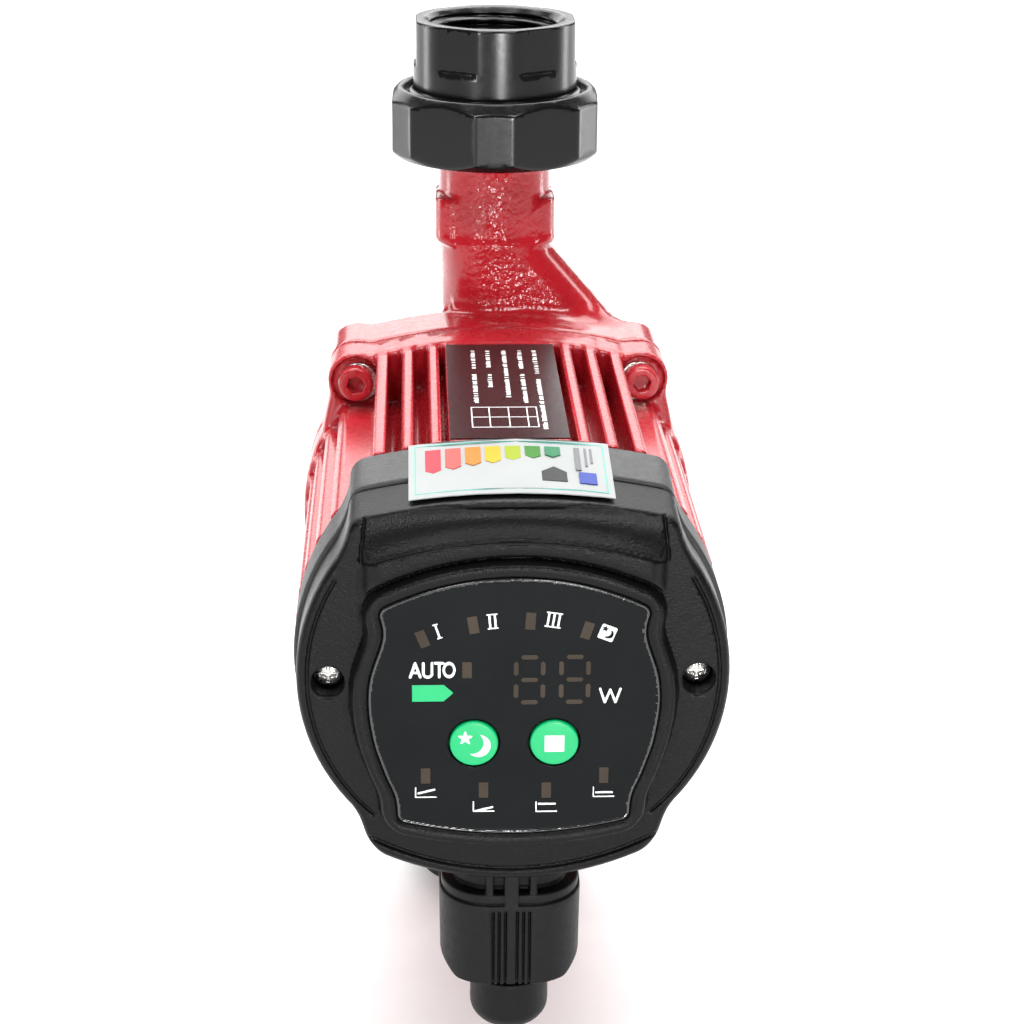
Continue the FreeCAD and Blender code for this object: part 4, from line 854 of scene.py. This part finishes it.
def build_energy_label():
    """White film with a border, seven coloured class bars, a dark pointer and a blue block."""
    left, right, length = -22.4, 21.4, 24.0
    sheet = patches("energy_label_sheet", [oblong(left, right, 0, length)], on_slope, 0.0, 0.22)
    place_piece(sheet, LABEL_WHITE, "label_white", "energy_label")
    print_energy("border", framed(left + 1.3, right - 1.3, 1.1, length - 1.7, 0.28),
                 label_ink("label_border_teal", (0.12, 0.42, 0.36)), (0.1, 0.26))
    for index, (colour, reach) in enumerate(zip(BAR_COLOURS, BAR_LENGTHS)):
        centre, start = -17.1 + 4.33 * index, 3.4
        bar = ((centre - 1.7, start), (centre + 1.7, start), (centre + 1.7, start + reach - 1.2),
               (centre, start + reach), (centre - 1.7, start + reach - 1.2))
        print_energy(f"bar_{index + 1}", [bar], label_ink(f"label_bar_ink_{index + 1}", colour))
    pointer = ((6.1, 14.6), (8.8, 12.3), (11.5, 14.6), (11.5, 18.6), (6.1, 18.6))
    print_energy("pointer", [pointer], label_ink("label_pointer_ink", (0.016, 0.017, 0.018)))
    print_energy("block", [oblong(14.1, 17.9, 14.2, 19.0)], label_ink("label_block_ink", (0.02, 0.045, 0.30)))
    lines = [oblong(13.6, 14.8, 3.3, 13.2), oblong(15.8, 16.3, 3.3, 11.2), oblong(17.0, 17.5, 3.3, 9.8)]
    print_energy("lines", lines, label_ink("label_line_ink", (0.16, 0.16, 0.17), 0.4))


def build_rating_label():
    """Dark film with rows of short marks and an empty table, without any wording."""
    start, end = span("rating_label", 2)
    sheet = patches("rating_label_sheet", [oblong(-PAD_HALF + 0.3, PAD_HALF - 0.3, start, end)], on_pad, 0.0, 0.28)
    place_piece(sheet, LABEL_DARK, "label_black", "rating_label")
    random = np.random.default_rng(7)
    marks = []
    for across, stops in ((8.2, (44, 62)), (8.2, (67, 103)), (4.6, (44, 58)), (4.6, (63, 84)), (0.8, (44, 80)),
                          (-3.2, (44, 57)), (-3.2, (63, 73)), (-6.8, (44, 58)), (-6.8, (63, 84))):
        place = stops[0]
        while place < stops[1]:
            length = random.uniform(0.35, 0.80)
            marks.append(oblong(across - random.uniform(0.30, 0.60), across + 0.55, place, place + length))
            place += length + random.choice((0.35, 0.35, 0.35, 1.1))
    rows, columns = (87.5, 94.5, 101.5), (-8.2, -4.2, 0.2, 4.4, 6.6)
    for along in rows:
        marks.append(oblong(columns[0], columns[-1] + 0.25, along, along + 0.3))
    for across in columns:
        marks.append(oblong(across, across + 0.25, rows[0] + 0.3, rows[-1]))
    place_piece(patches("rating_label_marks", marks, on_pad, 0.2, 0.33), PRINT_WHITE, "label_white")


# --- Screws ---


def build_socket_screw():
    """M5 socket-head screw on the motor axis; its copies are moved to the four lugs."""
    g = Grid((-4.4, -4.4, 12.7), (4.4, 4.4, SCREW_SEAT + HEAD_HEIGHT), 0.2)
    r, turn = np.hypot(g.x, g.y), np.arctan2(g.y, g.x)
    head = meet(meet(r - 4.25, g.z - SCREW_SEAT - HEAD_HEIGHT, 0.7), SCREW_SEAT - g.z, 0.2)
    socket = both(hexagon(r, turn, 0.2, 2.0), SCREW_SEAT + 2.5 - g.z)
    head = carve(head, socket, 0.18)
    shank = both(r - 2.45, slab(g.z, 12.7, SCREW_SEAT + 1))
    return mesh_field("socket_screw", g, either(head, shank), 0.05)


def build_washer():
    """Bare spring washer that shows round a painted screw head."""
    g = Grid((-5.2, -5.2, SCREW_SEAT), (5.2, 5.2, SCREW_SEAT + 1.3), 0.2)
    r = np.hypot(g.x, g.y)
    body = meet(meet(r - 5.05, slab(g.z, SCREW_SEAT, SCREW_SEAT + 1.2), 0.3), 2.9 - r, 0.2)
    return mesh_field("spring_washer", g, body, 0.05)


def build_cover_screw():
    g = Grid((-3.1, -3.1, BOX_REAR + 6), (3.1, 3.1, EAR_FLOOR + 2.2), 0.16)
    r = np.hypot(g.x, g.y)
    head = meet(meet(r - 2.9, g.z - EAR_FLOOR - 2.2 + 0.10 * r ** 2, 0.4), EAR_FLOOR - g.z, 0.1)
    cross = either(rectangle(g.x, g.y, 0, 0, 1.75, 0.42, 0.15), rectangle(g.x, g.y, 0, 0, 0.42, 1.75, 0.15))
    cross = both(either(cross, r - 0.8), EAR_FLOOR + 0.9 - g.z)
    head = carve(head, cross, 0.12)
    return mesh_field("cover_screw", g, either(head, both(r - 1.45, g.z - EAR_FLOOR - 0.5)), 0.05)


def moved(mesh, name, across, up):
    return copied(mesh, name, Matrix.Translation((across * MM, 0, up * MM)))


# --- Plug ---

PLUG_FRONT = PLUG_MIDDLE + 12.5
PLUG_REAR = PLUG_MIDDLE - 12.5
PLUG_SHOULDER = -57.5


def build_plug():
    bottom = span("plug_body", 1)[0] + 5.5
    g = Grid((-16.6, bottom - 5.5, PLUG_MIDDLE - 12.6), (16.6, -41, PLUG_MIDDLE + 12.8), 0.32)

    def section(inset):
        """Outline seen from above: a flat rear and a round front."""
        front, back, half = PLUG_FRONT - inset, PLUG_REAR + inset, 16.2 - inset
        box = rectangle(g.x, g.z, 0, (front + back) / 2 - 20, half, (front - back) / 2 + 20, 12.0 - inset)
        return meet(box, back - g.z, 1.5)

    draft = 0.012 * (PLUG_SHOULDER - g.y)
    low = bottom + 1.8              # where the shell ends round the gland
    body = meet(section(0.0) + draft, slab(g.y, low, PLUG_SHOULDER), 0.5)
    body = meet(body, (np.abs(g.x) + 1.1 * (low + 2.8 - g.y) - 15.9) * 0.67, 0.8)
    collar = meet(section(0.45), slab(g.y, PLUG_SHOULDER - 2, PLUG_SHOULDER + 2.4), 0.3)
    stem = meet(section(3.4), slab(g.y, PLUG_SHOULDER - 2, -50.05), 0.4)
    step = meet(section(2.6), slab(g.y, PLUG_SHOULDER + 3.6, -50.05), 0.3)
    body = either(body, collar, stem, step)
    gap = both(np.abs(section(0.0)) - 0.9, np.abs(g.y - PLUG_SHOULDER) - 0.22)
    body = carve(body, gap, 0.1)
    for across, half in ((0.0, 1.6), (-4.9, 0.85), (4.9, 0.85)):
        rib = both(np.abs(g.x - across) - half, section(0.7 if half < 1 else 0.1))
        body = either(body, both(rib, slab(g.y, PLUG_SHOULDER - (1.6 if half > 1 else -1), -50.05)))
    for across in (1.35, 2.75, 4.1):
        groove = both(np.abs(np.abs(g.x) - across) - 0.27, g.y - PLUG_SHOULDER + 1.6)
        body = carve(body, both(groove, PLUG_FRONT - 1.4 - g.z), 0.1)
    nose = meet(rectangle(g.x, g.z, 0, PLUG_MIDDLE, 11, 7, 1), slab(g.y, -51, -41), 0.4)
    spigot = both(np.hypot(g.x, g.z - PLUG_MIDDLE) - 7.5, slab(g.y, bottom - 5.5, bottom + 1))
    body = either(body, nose, spigot)
    chamber = both(section(4.6), slab(g.y, -76, -53))
    bore = both(np.hypot(g.x, g.z - PLUG_MIDDLE) - 6.0, g.y - bottom - 8)
    pins = both(np.hypot(np.minimum(np.abs(g.x), np.abs(np.abs(g.x) - 6.5)), g.z - PLUG_MIDDLE) - 1.5,
                -54 - g.y)
    body = carve(body, either(chamber, bore, pins), 0.3)
    wing = meet(rectangle(g.x, g.z, 0, PLUG_MIDDLE - 3.5, 12.6, 5.6, 2.0),
                (np.hypot(g.x / 1.05, g.y - bottom - 6) - 13.4), 1.0)
    wing = both(wing, slab(g.y, bottom - 5.4, bottom + 6), 9.6 - np.hypot(g.x, g.z - PLUG_MIDDLE))
    return mesh_field("plug_moulded", g, either(body, wing), 0.04)


def build_gland_nut():
    end, top = span("gland_nut", 1)
    g = Grid((-9.4, end, PLUG_MIDDLE - 9.4), (9.4, top, PLUG_MIDDLE + 9.4), 0.3)
    r = np.hypot(g.x, g.z - PLUG_MIDDLE)
    body = meet(r - 9.2, slab(g.y, end, top), 0.4)
    cup = np.hypot(np.maximum(r - 3.4, 0), np.minimum(g.y - end - 6.0, 0)) - 5.85
    body = meet(body, cup, 0.4)
    body = carve(body, both(r - 7.62, end + 5.5 - g.y), 0.3, r - 4.5, 0.5)
    return mesh_field("gland_nut_domed", g, body, 0.03)


# --- Assembly ---


def build_object():
    place_piece(build_pump_casting(), RED_CAST, "red_cast_iron", "pump_housing")
    place_piece(build_motor_casting(), RED_DIE, "red_aluminium", "motor_housing")
    tail = build_tailpiece()
    nut = build_union_nut()
    for mesh, body, node in ((tail, "outlet_tail", "outlet_tailpiece"), (nut, "outlet_nut", "outlet_union_nut"),
                             (turned_over(tail, "inlet_tailpiece_turned"), "inlet_tail", "inlet_tailpiece"),
                             (turned_over(nut, "inlet_union_nut_faceted"), "inlet_nut", "inlet_union_nut")):
        place_piece(mesh, BLACK_METAL, "black_union", node, body=body)
    place_piece(build_box_base(), BASE_PLASTIC, "black_plastic", "control_box_base")
    place_piece(build_box_cover(), BLACK_PLASTIC, "black_plastic", "control_box_cover")

    film = place_piece(build_film(), PANEL_FILM, "panel_film", "panel_foil")
    film.data.materials.append(GLOSS_EDGE)
    for polygon in film.data.polygons:
        place = polygon.center / MM
        if panel_shape(place.x, place.z - AXIS) > -BEAD_WIDTH:
            polygon.material_index = 1
    low, high = (-24, -33), (26, 19)
    place_piece(print_marks("panel_white_print", low, high, white_marks, FILM_FACE), PRINT_WHITE, "label_white")
    place_piece(print_marks("panel_lamp_windows", low, high, lamp_marks, FILM_FACE), LAMP_GLASS, "display_plastic")
    place_piece(print_marks("panel_arrow_print", (-23, -4), (-12, 1), arrow_mark, FILM_FACE), PRINT_GREEN,
                "green_button")
    for node, body in BUTTONS.items():
        place_piece(build_button(node), PRINT_GREEN, "green_button", node, body=body)
        cx, cy = button_centre(node)
        symbol = night_symbol(cx, cy) if node == "button_night" else square_symbol(cx, cy)
        mark = print_marks(node + "_print", (cx - 4, cy - 4), (cx + 4, cy + 4), symbol, span(node, 2)[1] - 0.06,
                           BUTTON_DOME)
        place_piece(mark, PRINT_WHITE, "label_white", body=body)

    build_energy_label()
    build_rating_label()

    screw, washer = build_socket_screw(), build_washer()
    stands_for = ["housing_screws"]     # the first screw takes the place of the node with all four
    for count, (across, up) in enumerate(product((-SCREW_OFFSET, SCREW_OFFSET), repeat=2), 1):
        place_piece(moved(screw, f"socket_screw_{count}", across, up), RED_DIE, "zinc_steel", *stands_for)
        stands_for = []
        across, up = across * WASHER_DRIFT, up * WASHER_DRIFT
        place_piece(moved(washer, f"spring_washer_{count}", across, up), ZINC, "zinc_steel")
    screw = build_cover_screw()
    place_piece(moved(screw, "cover_screw_left", -EAR, -0.4), ZINC, "zinc_steel", "cover_screws")
    place_piece(moved(screw, "cover_screw_right", EAR, -0.4), ZINC, "zinc_steel")

    place_piece(build_plug(), PLUG_PLASTIC, "plug_plastic", "plug_body", body="plug")
    place_piece(build_gland_nut(), PLUG_PLASTIC, "plug_plastic", "gland_nut", body="gland")


build_object()
dress_frame()


# --- Floor, light and camera ---

FLOOR = make_material("floor_pale", (0.86, 0.86, 0.86), 0.7, grain=(60, 0.02), shade=0.01, polish=0.05)

GLOW_REACH = 1.1, 2.2               # metres from the pump over which the floor's glow fades in


def brighten_far_floor():
    """The floor glows a little beyond the reach of the lamps, so it stays pale to the horizon."""
    nodes, links = FLOOR.node_tree.nodes, FLOOR.node_tree.links
    where = nodes.new("ShaderNodeTexCoord")
    reach = nodes.new("ShaderNodeVectorMath")
    reach.operation = "LENGTH"
    fade = map_range(nodes, *GLOW_REACH, high=0.93)
    links.new(where.outputs["Object"], reach.inputs[0])
    links.new(reach.outputs["Value"], fade.inputs["Value"])
    shader = nodes["Principled BSDF"]
    set_inputs(shader, "Emission Color", (1, 1, 1, 1))
    links.new(fade.outputs["Result"], shader.inputs["Emission Strength"])


def build_floor():
    mesh = bpy.data.meshes.new("floor")
    corners = [(-4, -3, 0), (4, -3, 0), (4, 9, 0), (-4, 9, 0)]
    mesh.from_pydata(corners, [], [(0, 1, 2, 3)])
    mesh.materials.append(FLOOR)
    floor = add_object("floor", mesh)


def area_light(name, place, aim, width, height, watts):
    light = bpy.data.lights.new(name, "AREA")
    light.shape = "RECTANGLE"
    light.size, light.size_y, light.energy = width, height, watts
    item = add_object(name, light)
    item.location = place
    item.rotation_euler = (Vector(aim) - Vector(place)).to_track_quat("-Z", "Y").to_euler()


def build_world():
    """White surroundings, bright where the camera sees them and faint as a light."""
    world = bpy.data.worlds.new("studio")
    world.use_nodes = True
    nodes, links = world.node_tree.nodes, world.node_tree.links
    set_inputs(nodes["Background"], "Color", (1, 1, 1, 1))
    seen = nodes.new("ShaderNodeLightPath")
    glow = nodes.new("ShaderNodeMath")
    glow.operation = "MULTIPLY_ADD"
    set_inputs(glow, 1, 0.85, 2, 0.08)
    links.new(seen.outputs["Is Camera Ray"], glow.inputs[0])
    links.new(glow.outputs["Value"], nodes["Background"].inputs["Strength"])
    bpy.context.scene.world = world


CAMERA_PLACE = -0.02086, -0.6073, 0.3366
CAMERA_TURN = 20.93, 2.454, 0.439   # degrees of pitch down, yaw to the right and roll


def build_camera():
    """The camera fitted to the photo."""
    pitch, yaw, roll = map(math.radians, CAMERA_TURN)
    forward = Vector((math.sin(yaw) * math.cos(pitch), math.cos(yaw) * math.cos(pitch), -math.sin(pitch)))
    level = Vector((math.cos(yaw), -math.sin(yaw), 0))
    upright = level.cross(forward)
    right = math.cos(roll) * level + math.sin(roll) * upright
    up = -math.sin(roll) * level + math.cos(roll) * upright
    camera = bpy.data.cameras.new("camera")
    camera.sensor_width = 36.0
    camera.lens = 84.375
    item = add_object("camera", camera)
    turn = Matrix((right, up, -forward)).transposed().to_4x4()
    item.matrix_world = Matrix.Translation(CAMERA_PLACE) @ turn
    bpy.context.scene.camera = item


# Name, place, what it points at, width, height and watts.
LAMPS = (
    ("overhead", (0, 0.22, 1.0), (0, 0.06, 0.1), 0.6, 0.6, 5),
    ("backdrop_light", (0, 2.2, 1.15), (0, 1.1, 0), 3.5, 1.4, 42),
    ("floor_light", (0, 1.4, 2.3), (0, 1.2, 0), 3.0, 1.6, 88),
    ("left_strip", (-0.7, 0.30, 0.30), (0, 0, 0.12), 0.15, 0.8, 2.4),
    ("right_strip", (0.7, 0.30, 0.30), (0, 0, 0.12), 0.15, 0.8, 2.4),
    ("front_left", (-0.30, -0.58, 1.0), (0, 0, 0.12), 0.3, 0.3, 4.0),
    ("front_right", (0.30, -0.58, 1.0), (0, 0, 0.12), 0.3, 0.3, 4.0),
    ("low_spark", (0.12, -1.0, 0.14), (0, 0, 0.15), 0.14, 0.14, 3.6),
    ("low_spark_left", (-0.50, -0.90, 0.20), (0, 0, 0.15), 0.12, 0.12, 2.0),
)

brighten_far_floor()
build_floor()
build_world()
for lamp in LAMPS:
    area_light(*lamp)
build_camera()
bpy.context.scene.view_settings.view_transform = "Standard"
